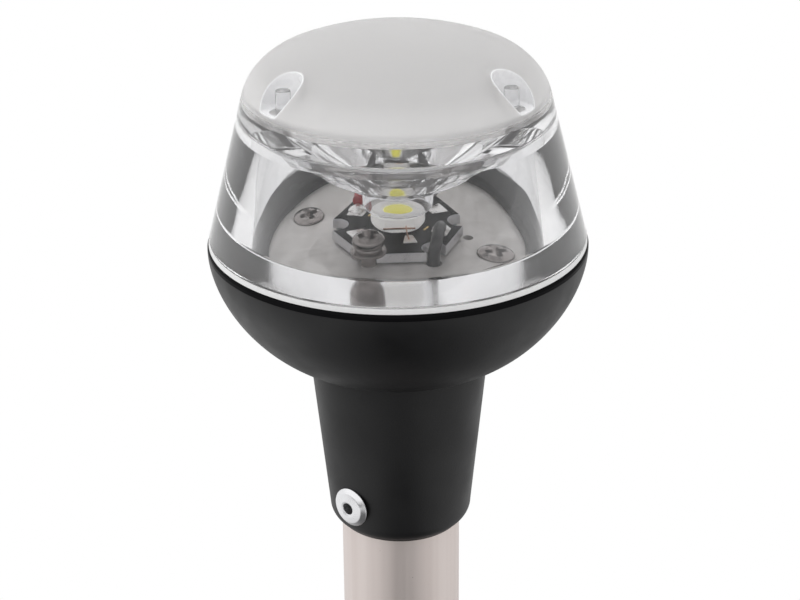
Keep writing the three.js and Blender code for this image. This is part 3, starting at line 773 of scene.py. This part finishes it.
BOWL_FOOT_R = 11.6
BOWL_TOP_Z = -1.02
BOWL_DEPTH = 19.0
BOWL_LAST = 79.2  # degrees round the bowl's curve, where the socket takes over
BOWL_POWERS = (1.216, 1.16)  # 1 and 1 would make an ellipse, and these a curve a little straighter
SOCKET_TOP_Z = -19.9
BORE_TOP_Z = -24.3  # where the pole ends in the socket
LEAD_HOLE_R = 4.2
BAY_FLOOR_Z = -13  # of the round bay that holds the driver
BAY_R = 15.6
SHELF_R = 18.6  # inner edge of the shelf that the plate lies on


def bowl_outline():
    points = []
    for i in range(BOWL_STEPS + 1):
        t = math.radians(BOWL_LAST * i / BOWL_STEPS)
        radius = BOWL_FOOT_R + (RIM_R - BOWL_FOOT_R) * math.cos(t) ** BOWL_POWERS[0]
        points.append((radius, BOWL_TOP_Z - BOWL_DEPTH * math.sin(t) ** BOWL_POWERS[1]))
    return points


def build_housing():
    """Bowl and socket in one skin, a smooth rim under the lens, and the raised lip round the plate."""
    mouth = arc((socket_radius(MOUTH_Z) - SOCKET_ROUND, MOUTH_Z + SOCKET_ROUND), SOCKET_ROUND, 0, -54, 12)
    bore = POLE_R + 0.1
    seat = PLATE_Z - 2.1
    skin = bowl_outline() + [(socket_radius(SOCKET_TOP_Z), SOCKET_TOP_Z)] + mouth + [
        (bore + 0.2, MOUTH_Z), (bore, MOUTH_Z + 0.4), (bore, BORE_TOP_Z), (LEAD_HOLE_R, BORE_TOP_Z),
        (LEAD_HOLE_R, BAY_FLOOR_Z), (BAY_R, BAY_FLOOR_Z), (SHELF_R, BAY_FLOOR_Z + 3),
        (SHELF_R, seat), (20.4, seat), (20.4, -0.5), (22.0, -0.5), (22.0, -2.0), (RIM_R - 2.4, -2.6),
    ]
    add_piece("bowl_and_socket", turned("bowl_and_socket", skin), NYLON, "base_housing")
    rim = eased([
        (22.05, -0.6), (LIP_INNER_R, -0.6), (LIP_INNER_R, LIP_TOP_Z - 0.3, 0.2), (20.7, LIP_TOP_Z, 0.2),
        (22.2, LIP_TOP_Z, 0.25), (LIP_OUTER_R, LIP_TOP_Z - 0.3, 0.2), (LIP_OUTER_R, -0.1, 0.1),
        (RIM_R - 0.3, -0.1, 0.15), (RIM_R, -0.45, 0.25), (RIM_R, BOWL_TOP_Z + 0.01), (RIM_R - 2.3, -2.5),
        (22.05, -1.9),
    ], closed=True)
    add_piece("housing_rim", turned("housing_rim", rim), NYLON_SMOOTH)


def build_seal():
    """The pale ring that shows as a bright line at the lens's foot."""
    outline = eased([
        (SEAL_INNER_R, -0.04, 0.1), (SEAL_OUTER_R, -0.04, 0.12), (SEAL_OUTER_R - 0.08, SEAL_TOP_Z, 0.08),
        (SEAL_INNER_R, SEAL_TOP_Z, 0.05),
    ], closed=True)
    add_piece("foot_seal", turned("foot_seal", outline), SEAL, "lens_seal")


# ---------------------------------------------------------------- plate and star board
def cross_cutters(span, width, depth, top, place):
    """The two bars of the recess, one mesh each, so that each stays a closed body."""
    bars = []
    for turn in (0, 90):
        spin = Matrix.Rotation(math.radians(turn), 4, "Z")

        def build(bm):
            corners = []
            floor = (top - depth, span * 0.28, width * 0.36)
            opening = (top + 0.3, span * 0.56, width * 0.58)
            for z, half_span, half_width in (floor, opening):
                for sx, sy in ((-1, -1), (1, -1), (1, 1), (-1, 1)):
                    corners.append(bm.verts.new(place @ spin @ Vector((sx * half_span, sy * half_width, z))))
            for face in ((0, 1, 2, 3), (4, 5, 6, 7), (0, 1, 5, 4), (1, 2, 6, 5), (2, 3, 7, 6), (3, 0, 4, 7)):
                bm.faces.new([corners[k] for k in face])
        bars.append(mesh_from("cross_bar", build))
    return bars


def build_plate():
    under = PLATE_Z - PLATE_T
    disc = turned("plate", eased([(0, under), (PLATE_R, under), (PLATE_R, PLATE_Z, 0.12), (0, PLATE_Z)]))
    holes = []
    for degrees in PLATE_SCREW_ANGLES:
        sink = [
            (0, PLATE_Z - 3), (SHANK_R, PLATE_Z - 3), (SHANK_R, PLATE_Z - 1.3), (SCREW_SINK_R, PLATE_Z),
            (SCREW_SINK_R + 0.05, PLATE_Z + 1), (0, PLATE_Z + 1),
        ]
        holes.append(turned("sink", sink, SMALL_SIDES, polar(PLATE_SCREW_AT, degrees)))
    drilled = [(WIRE_HOLE_R, WIRE_HOLE_AT, degrees + STAR_TURN) for degrees in WIRE_HOLE_ANGLES]
    drilled.append((SMALL_HOLE_R, SMALL_HOLE_AT, SMALL_HOLE_ANGLE))
    for radius, at, degrees in drilled:
        hole = [(0, PLATE_Z - 3), (radius, PLATE_Z - 3), (radius, PLATE_Z + 1), (0, PLATE_Z + 1)]
        holes.append(turned("hole", hole, 40, polar(at, degrees)))
    add_piece("plate", carved(disc, holes), PLATE, "heat_sink_plate")


def build_plate_screws():
    """Raised countersunk heads with a cross recess and a rolled rim."""
    for name, degrees, turn in (("front", PLATE_SCREW_ANGLES[0], 12), ("back", PLATE_SCREW_ANGLES[1], 30)):
        rim = PLATE_Z + 0.02
        crown = rim + 0.5
        outline = eased([
            (0, rim - 8.4), (1.15, rim - 8), (1.15, rim - 1.27), (2.74, rim - 0.05, 0.04),
            (2.74, rim + 0.14, 0.1), (2.45, rim + 0.24, 0.1), (1.7, rim + 0.44, 0.3), (0, crown),
        ])
        place = polar(PLATE_SCREW_AT, degrees, 0, turn)
        head = turned("plate_screw", outline, SMALL_SIDES, place)
        head = carved(head, cross_cutters(3.4, 1.05, 1.35, crown, place))
        add_piece(f"plate_screw_{name}_fine", head, STEEL, f"plate_screw_{name}")


def star_outline(flat, notch_r=STAR_NOTCH_R):
    """Six flats whose corners are bitten away by round notches."""
    points = []
    half_side = flat / math.cos(math.radians(30))
    for i in range(6):
        corner_angle = 60 * i
        centre = Vector(on_circle(STAR_NOTCH_AT, corner_angle))
        corner = Vector(on_circle(half_side, corner_angle))
        before = Vector(on_circle(half_side, corner_angle - 60))
        after = Vector(on_circle(half_side, corner_angle + 60))
        ends = []
        for other in (before, after):
            along = (other - corner).normalized()
            offset = corner - centre
            b = offset.dot(along)
            reach = -b + math.sqrt(b * b - offset.length_squared + notch_r ** 2)
            ends.append(corner + along * reach)
        start = math.atan2(ends[0].y - centre.y, ends[0].x - centre.x)
        stop = math.atan2(ends[1].y - centre.y, ends[1].x - centre.x)
        inward = math.radians(corner_angle + 180)
        sweep = (stop - start) % (2 * math.pi)
        if not (inward - start) % (2 * math.pi) < sweep:
            sweep -= 2 * math.pi
        for k in range(NOTCH_STEPS + 1):
            angle = start + sweep * k / NOTCH_STEPS
            points.append((centre.x + notch_r * math.cos(angle), centre.y + notch_r * math.sin(angle)))
    return points


def build_star():
    """The board: an aluminium core with a thin black mask on top."""
    core = prism("star_core", star_outline(STAR_FLAT), STAR_UNDER_Z, STAR_Z - MASK_T, 0.05)
    add_to_star("star_core", core, CORE, "star_board")
    outline = star_outline(STAR_FLAT - 0.08, STAR_NOTCH_R + 0.12)
    mask = prism("star_mask", outline, STAR_Z - MASK_T, STAR_Z, 0.04)
    add_to_star("star_mask", mask, MASK)


def pad_outline(width_in, width_out, length, rounding=0.25):
    corners = [(0, -width_in / 2, rounding), (length, -width_out / 2, rounding),
               (length, width_out / 2, rounding), (0, width_in / 2, rounding)]
    return eased(corners, closed=True)


PAD_ANGLES = (-27, 27, 153, 207)


def build_pads():
    """Tinned pads on both sides of the two side notches. Two of them carry the wires."""
    for i, degrees in enumerate(PAD_ANGLES):
        place = polar(6, degrees, turn=degrees)
        pad = prism(f"pad_{i}", pad_outline(1.7, 2.9, 2.6), STAR_Z, STAR_Z + PAD_T, 0.03, place)
        add_to_star(f"pad_{i}", pad, SOLDER)


def blob(name, centre, size, seed):
    """A lump of solder: a squashed dome with an uneven skin."""
    def build(bm):
        bmesh.ops.create_icosphere(bm, subdivisions=4, radius=1)
        for vert in bm.verts:
            co = vert.co
            swell = 0.10 * math.sin(5 * co.x + seed)
            ripple = 0.08 * math.sin(7 * co.y + 2 * seed) * math.cos(4 * co.z)
            dome = Vector((co.x * size[0], co.y * size[1], max(co.z, -0.15) * size[2]))
            vert.co = dome * (1 + swell + ripple) + Vector(centre)
    return mesh_from(name, build)


def build_led():
    """Milky body with a raised round rim, flats at front and back, and the yellow window in it; body and window
    both carry a painted glow.
    """
    low = STAR_Z + 0.05
    outline = eased([
        (0, low), (LED_R - 0.4, low, 0.1), (LED_R, low + 0.45, 0.2), (LED_R, LED_TOP_Z - 0.85, 0.15),
        (LED_R - 0.28, LED_TOP_Z - 0.7, 0.1), (LED_R - 0.4, LED_TOP_Z, 0.3), (2.5, LED_TOP_Z - 0.02, 0.2),
        (2.2, LED_TOP_Z - 0.3, 0.1), (0, LED_TOP_Z - 0.3),
    ])
    body = turned("led", outline, 128)
    for turn in (0, 180):
        place = Matrix.Rotation(math.radians(turn), 4, "Z")
        flat = [(-3.4, -6), (3.4, -6), (3.4, -LED_FLAT), (-3.4, -LED_FLAT)]
        body = carved(body, [prism("flat", flat, low - 1, LED_TOP_Z - 0.8, place=place)])
    add_to_star("led", body, LED_WHITE_PAINTED_GLOW, "led_body")
    window = turned("phosphor", eased([
        (0, LED_TOP_Z - 0.28), (2.15, LED_TOP_Z - 0.28), (2.1, LED_TOP_Z - 0.16, 0.1), (0, LED_TOP_Z - 0.02),
    ]), 96)
    add_to_star("phosphor", window, PHOSPHOR_PAINTED_GLOW, "led_phosphor")
    strip = [(-2.4, -0.05), (2.4, -0.05), (2.4, 0.05), (-2.4, 0.05)]
    slot = prism("led_slot", strip, low + 0.5, low + 0.75, 0.02, place=shifted(0, -LED_FLAT - 0.04))
    add_to_star("led_slot", slot, COPPER)


def build_leads():
    for name, turn in (("front", 0), ("back", 180)):
        spin = Matrix.Rotation(math.radians(turn), 4, "Z")
        points = [spin @ Vector(p) for p in (
            (1.05, -3.6, STAR_Z + 0.7), (1.05, -4.1, STAR_Z + 0.68), (1.1, -4.5, STAR_Z + 0.35),
            (1.2, -4.9, STAR_Z + 0.15), (1.3, -6.0, STAR_Z + 0.13))]
        lead = swept(f"lead_{name}", points, 0.1, 6, 16, width=0.42)
        add_to_star(f"lead_{name}", lead, COPPER, f"led_lead_{name}")
        place = spin @ shifted(1.35, -4.6, 0, -88)
        pad = prism(f"lead_pad_{name}", pad_outline(1.1, 2.2, 2.4), STAR_Z, STAR_Z + 0.1, 0.03, place)
        add_to_star(f"lead_pad_{name}", pad, SOLDER)


def build_tracks():
    """Short gold lines left bare beside the LED."""
    for i, degrees in enumerate((-38, 38, 142, 218)):
        track = prism(f"track_{i}", pad_outline(0.35, 0.35, 1.3, 0.1), STAR_Z, STAR_Z + 0.06, 0.02,
                      polar(4.9, degrees, turn=degrees + 90))
        add_to_star(f"track_{i}", track, GOLD)


def build_star_screws():
    """Pan heads with a cross recess, each on a split spring washer and a flat washer."""
    for name, degrees, turn in (("front", STAR_SCREW_ANGLES[0], 20), ("back", STAR_SCREW_ANGLES[1], -15)):
        place = polar(STAR_SCREW_AT, degrees, 0, turn)
        seat = STAR_Z + 1.22
        outline = eased([
            (0, STAR_Z - 5.7), (1.2, STAR_Z - 5.4), (1.2, seat), (2.3, seat, 0.15), (2.5, seat + 0.35, 0.3),
            (2.45, seat + 1.0, 0.5), (1.6, seat + 1.6, 0.5), (0, seat + 1.68),
        ])
        head = turned("star_screw", outline, SMALL_SIDES, place)
        head = carved(head, cross_cutters(3.3, 1.05, 1.35, seat + 1.62, place))
        add_to_star(f"star_screw_{name}_fine", head, STEEL, f"star_screw_{name}")
        flat = eased([
            (1.35, STAR_Z + 0.03), (2.7, STAR_Z + 0.03, 0.1), (2.7, STAR_Z + 0.45, 0.1),
            (1.35, STAR_Z + 0.45),
        ], closed=True)
        flat = turned("flat_washer", flat, SMALL_SIDES, place)
        add_to_star(f"flat_washer_{name}_fine", flat, STEEL, f"flat_washer_{name}")
        coil = []
        for k in range(COIL_STEPS + 1):
            along = on_circle(COIL_R, 20 + 320 * k / COIL_STEPS)
            coil.append(place @ Vector((*along, STAR_Z + 0.72 + 0.1 * k / COIL_STEPS)))
        spring = swept(f"spring_washer_{name}_fine", coil, 0.27, 4, 12, width=0.42)
        add_to_star(f"spring_washer_{name}_fine", spring, STEEL, f"spring_washer_{name}")


def wire_path(start, hole):
    """From a solder joint over the board's edge and down through the plate."""
    return [
        (start[0], start[1], STAR_Z + 0.95),
        (start[0] * 0.7 + hole[0] * 0.3, start[1] * 0.65 + hole[1] * 0.35, STAR_Z + 1.3),
        (hole[0] * 1.1, hole[1] * 0.92, STAR_Z + 0.9),
        (hole[0], hole[1], STAR_Z - 1.1),
        (hole[0], hole[1], STAR_Z - 4.8),
        (hole[0], hole[1], -7.7),
    ]


def build_wires():
    """The red wire leaves the back left pad and the black one the front right pad."""
    for name, start, degrees, finish, seed in (
        ("red", (-6.4, 4.9), WIRE_HOLE_ANGLES[1], RED, 1),
        ("black", (6.4, -3.9), WIRE_HOLE_ANGLES[0], BLACK_SLEEVE, 2),
    ):
        wire = swept(f"{name}_wire_fine", wire_path(start, on_circle(WIRE_HOLE_AT, degrees)), WIRE_R)
        add_to_star(f"{name}_wire_fine", wire, finish, f"{name}_wire")
        side = math.copysign(1, start[0])
        lump = blob(f"{name}_joint", (side * 6.5, start[1] * 0.78, STAR_Z + 0.1), (1.35, 1.1, 0.75), seed)
        add_to_star(f"{name}_joint", lump, SOLDER)


# ---------------------------------------------------------------- rivets and pole
def build_rivets():
    """Domed blind rivets with a rolled hole edge; the broken stem lies down the hole."""
    under = socket_radius(RIVET_Z) + 0.02
    outline = eased([
        (0.95, 6.3), (1.6, 6.3, 0.3), (2.3, 7.0, 0.3), (2.3, 7.6, 0.3), (1.6, 8.2), (1.6, under),
        (RIVET_HEAD_R - 0.05, under, 0.1), (RIVET_HEAD_R, under + 0.25, 0.15), (2.5, under + 0.85, 0.6),
        (1.35, under + 1.15, 0.3), (0.95, under + 1.0, 0.15),
    ], closed=True)
    stem = eased([(0, 5.0), (1.1, 5.2, 0.2), (1.1, 5.9, 0.2), (0.86, 6.3), (0.86, 11.4, 0.1), (0, 11.5)])
    for name, degrees in zip(("front", "back"), RIVET_ANGLES):
        place = facing_out(degrees, RIVET_Z)
        head = turned("rivet", outline, SMALL_SIDES, place)
        add_piece(f"rivet_{name}", head, RIVET, f"head_rivet_{name}")
        broken = turned("stem", stem, 32, place)
        add_piece(f"stem_{name}", broken, STEEL, f"rivet_stem_{name}")


def build_pole():
    low = head_height(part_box("pole")[0].z)
    high = head_height(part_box("pole")[1].z)
    inner = POLE_R - POLE_WALL
    outline = eased([
        (inner, low), (POLE_R - 0.3, low), (POLE_R, low + 0.3, 0.2), (POLE_R, high - 0.3),
        (POLE_R - 0.3, high), (inner, high),
    ], closed=True)
    add_piece("pole_tube", turned("pole_tube", outline), POLE, "pole")


# ---------------------------------------------------------------- plug and lock collar
# Heights from here to the collar are millimetres above the plug's face.
PLUG_FACE = -LENS_FOOT / MM  # the plug's face as a head height
PLUG_NOSE_R = 10.9
PLUG_SHOULDER_R = 13.0
PLUG_SHOULDER_Z = 15.0
PLUG_SHOULDER_TOP = 17.0
PLUG_SPIGOT_TOP = 36.0
GROOVE_DEPTH = 1.4
GROOVE_LOW = 8
GROOVE_HIGH = 10.2
PIN_X = 4.2
PIN_LENGTH = 10.0
PIN_TOP = 15.0
CROSS_PIN_Z = 27.0
CROSS_PIN_R = 1.2
WASHER_Z = 17.1
WASHER_T = 1.2
WASHER_R = 13.3
SLEEVE_R = 9.95
COLLAR_FOOT_Z = 3.0
COLLAR_TOP_Z = 22.0
COLLAR_BORE_R = 13.7
COLLAR_R = 16.6
COLLAR_GRIPS = 16
THREAD_PITCH = 3.0
THREAD_DEPTH = 0.8
THREAD_STEP = 0.25  # between the rings of points down the bore


def add_below(name, mesh, material, replaced, body="light"):
    """A piece made in heights above the plug's face, in place of a CAD node."""
    mesh.transform(Matrix.Translation((0, 0, PLUG_FACE)))
    add_piece(name, mesh, material, replaced, body=body)


def build_plug():
    """The plug's nose with its groove and shoulder, and the spigot inside the tube."""
    spigot = POLE_R - 1.35
    groove = PLUG_NOSE_R - GROOVE_DEPTH
    outline = eased([
        (0, 0), (PLUG_NOSE_R - 0.8, 0, 0.3), (PLUG_NOSE_R, 0.8, 0.3), (PLUG_NOSE_R, GROOVE_LOW, 0.15),
        (groove, GROOVE_LOW, 0.1), (groove, GROOVE_HIGH, 0.1), (PLUG_NOSE_R, GROOVE_HIGH, 0.15),
        (PLUG_NOSE_R, PLUG_SHOULDER_Z, 0.2),
        (PLUG_SHOULDER_R, PLUG_SHOULDER_Z, 0.25), (PLUG_SHOULDER_R, PLUG_SHOULDER_TOP, 0.25),
        (spigot, PLUG_SHOULDER_TOP, 0.1), (spigot, PLUG_SPIGOT_TOP - 1), (spigot - 0.85, PLUG_SPIGOT_TOP),
        (0, PLUG_SPIGOT_TOP),
    ])
    body = turned("plug_fine", outline)
    rooted, proud = PLUG_NOSE_R - 1, PLUG_NOSE_R + 1.3
    key = [(-1.2, rooted), (1.2, rooted), (1.2, proud), (-1.2, proud)]
    body = carved(body, [prism("key", key, 1, 7, 0.2)], "UNION")
    cuts = []
    for x, radius in ((PIN_X, 2.05), (-PIN_X, 1.65)):
        ledge, beyond = PIN_TOP + 0.5, PLUG_SPIGOT_TOP + 2
        hole = [(0, -1), (radius, -1), (radius, ledge), (2.3, ledge), (2.3, beyond), (0, beyond)]
        cuts.append(turned("channel", hole, 48, shifted(x, 0)))
    across = Matrix.Translation((0, 0, CROSS_PIN_Z)) @ Matrix.Rotation(math.radians(90), 4, "X")
    drill_r = CROSS_PIN_R + 0.1
    cuts.append(turned("cross_hole", [(0, -20), (drill_r, -20), (drill_r, 20), (0, 20)], 40, across))
    add_below("plug_fine", carved(body, cuts), NYLON, "plug_body")
    for name, x, radius in (("positive", PIN_X, 2.0), ("negative", -PIN_X, 1.6)):
        outline = eased([
            (0, -PIN_LENGTH), (radius - 0.7, -PIN_LENGTH, 0.5), (radius - 0.1, -PIN_LENGTH + 0.8, 0.5),
            (radius, -PIN_LENGTH + 1.8, 0.5), (radius, PIN_TOP, 0.1), (0, PIN_TOP),
        ])
        pin = turned("pin", outline, SMALL_SIDES, shifted(x, 0))
        add_below(f"pin_{name}", pin, BRASS, f"contact_pin_{name}")
    half = POLE_R - 0.15
    rod = eased([(0, -half), (CROSS_PIN_R, -half, 0.2), (CROSS_PIN_R, half, 0.2), (0, half)])
    rod = turned("cross_pin", rod, 40, across)
    add_below("cross_pin_fine", rod, STEEL, "plug_cross_pin")
    ring = turned("sealing_ring", arc((PLUG_NOSE_R - 0.4, 9.1), 0.93, 0, 350, 35))
    add_below("sealing_ring_fine", ring, RUBBER, "plug_sealing_ring")


def build_washer():
    outline = eased([
        (SLEEVE_R, WASHER_Z, 0.2), (WASHER_R, WASHER_Z, 0.2), (WASHER_R, WASHER_Z + WASHER_T, 0.2),
        (SLEEVE_R, WASHER_Z + WASHER_T, 0.2),
    ], closed=True)
    washer = turned("washer", outline)
    add_below("washer_fine", washer, STEEL, "collar_washer", body="washer")


def build_collar():
    """The lock collar: one skin whose outside is ribbed for grip and whose bore has a helical thread."""
    flange_foot = WASHER_Z + WASHER_T + 0.1
    bore_top = flange_foot - 1.4
    ribbed = [
        (COLLAR_FOOT_Z + 1.6, 0.0), (COLLAR_FOOT_Z + 2.4, 1.0),
        (COLLAR_TOP_Z - 3, 1.0), (COLLAR_TOP_Z - 2, 0.0),
    ]
    inside = eased([
        (SLEEVE_R, COLLAR_TOP_Z, 0.2), (SLEEVE_R, flange_foot, 0.1), (COLLAR_BORE_R + 0.1, flange_foot, 0.1),
        (COLLAR_BORE_R + 0.1, flange_foot - 1.2),
    ])
    outside = eased([
        (COLLAR_R - 0.6, COLLAR_FOOT_Z, 0.3), (COLLAR_R, COLLAR_FOOT_Z + 1.4, 0.3),
        (COLLAR_R, COLLAR_TOP_Z - 2, 0.5), (COLLAR_R - 1.3, COLLAR_TOP_Z, 0.4), (SLEEVE_R, COLLAR_TOP_Z),
    ])
    fine_outside = []
    for (r0, z0), (r1, z1) in zip(outside, outside[1:]):
        pieces = max(1, round(abs(z1 - z0) / 0.5))
        fine_outside += [(r0 + (r1 - r0) * k / pieces, z0 + (z1 - z0) * k / pieces) for k in range(pieces)]
    rings = round((bore_top - COLLAR_FOOT_Z) / THREAD_STEP)
    threaded = [(COLLAR_BORE_R, bore_top - THREAD_STEP * k) for k in range(rings)]
    threaded.append((COLLAR_BORE_R + 0.1, COLLAR_FOOT_Z))
    outline = fine_outside + inside + threaded
    sides = COLLAR_GRIPS * 18

    def rib(z):
        if not ribbed[0][0] < z < ribbed[3][0]:
            return 0.0
        for (z0, w0), (z1, w1) in zip(ribbed, ribbed[1:]):
            if z <= z1:
                return w0 + (w1 - w0) * (z - z0) / (z1 - z0)
        return 0.0

    def thread(z, degrees):
        """The thread's depth here: a rounded groove that climbs one pitch in a turn and fades at its ends."""
        phase = (z - COLLAR_FOOT_Z) / THREAD_PITCH - degrees / 360
        groove = max(0.0, math.cos(2 * math.pi * phase)) ** 0.7
        fade = min(1, (z - COLLAR_FOOT_Z) / 1.2, max(0.0, flange_foot - 3 - z) / 1.5)
        return THREAD_DEPTH * groove * max(0.0, fade)

    def build(bm):
        loops = []
        for index, (radius, z) in enumerate(outline):
            loop = []
            for k in range(sides):
                degrees = 360 * k / sides
                if index < len(fine_outside):
                    grown = radius + rib(z) * (0.05 + 0.45 * math.cos(math.radians(COLLAR_GRIPS * degrees)))
                elif index >= len(fine_outside) + len(inside) and radius == COLLAR_BORE_R:
                    grown = radius + thread(z, degrees)
                else:
                    grown = radius
                loop.append(bm.verts.new((*on_circle(grown, degrees), z)))
            loops.append(loop)
        for low, high in zip(loops, loops[1:] + loops[:1]):
            for k in range(sides):
                n = (k + 1) % sides
                bm.faces.new((low[k], low[n], high[n], high[k]))
    collar = mesh_from("lock_collar", build)
    add_below("lock_collar_fine", collar, NYLON, "lock_collar", body="collar")


# ---------------------------------------------------------------- kept CAD nodes
KEPT = {
    "thermal_pad": PAD, "driver_board": GREEN, "driver_inductor": RUBBER, "driver_chip": MASK,
    "driver_capacitor": SOLDER, "cable_grommet": RUBBER, "supply_lead_red": RED,
    "supply_lead_black": BLACK_SLEEVE,
}


def dress_kept_nodes():
    for name, material in KEPT.items():
        node = nodes[name]
        node.data.materials.clear()
        node.data.materials.append(material)


build_lens()
build_cap()
build_housing()
build_seal()
build_plate()
build_plate_screws()
build_star()
build_pads()
build_led()
build_leads()
build_tracks()
build_star_screws()
build_wires()
build_rivets()
build_pole()
build_plug()
build_washer()
build_collar()
dress_kept_nodes()
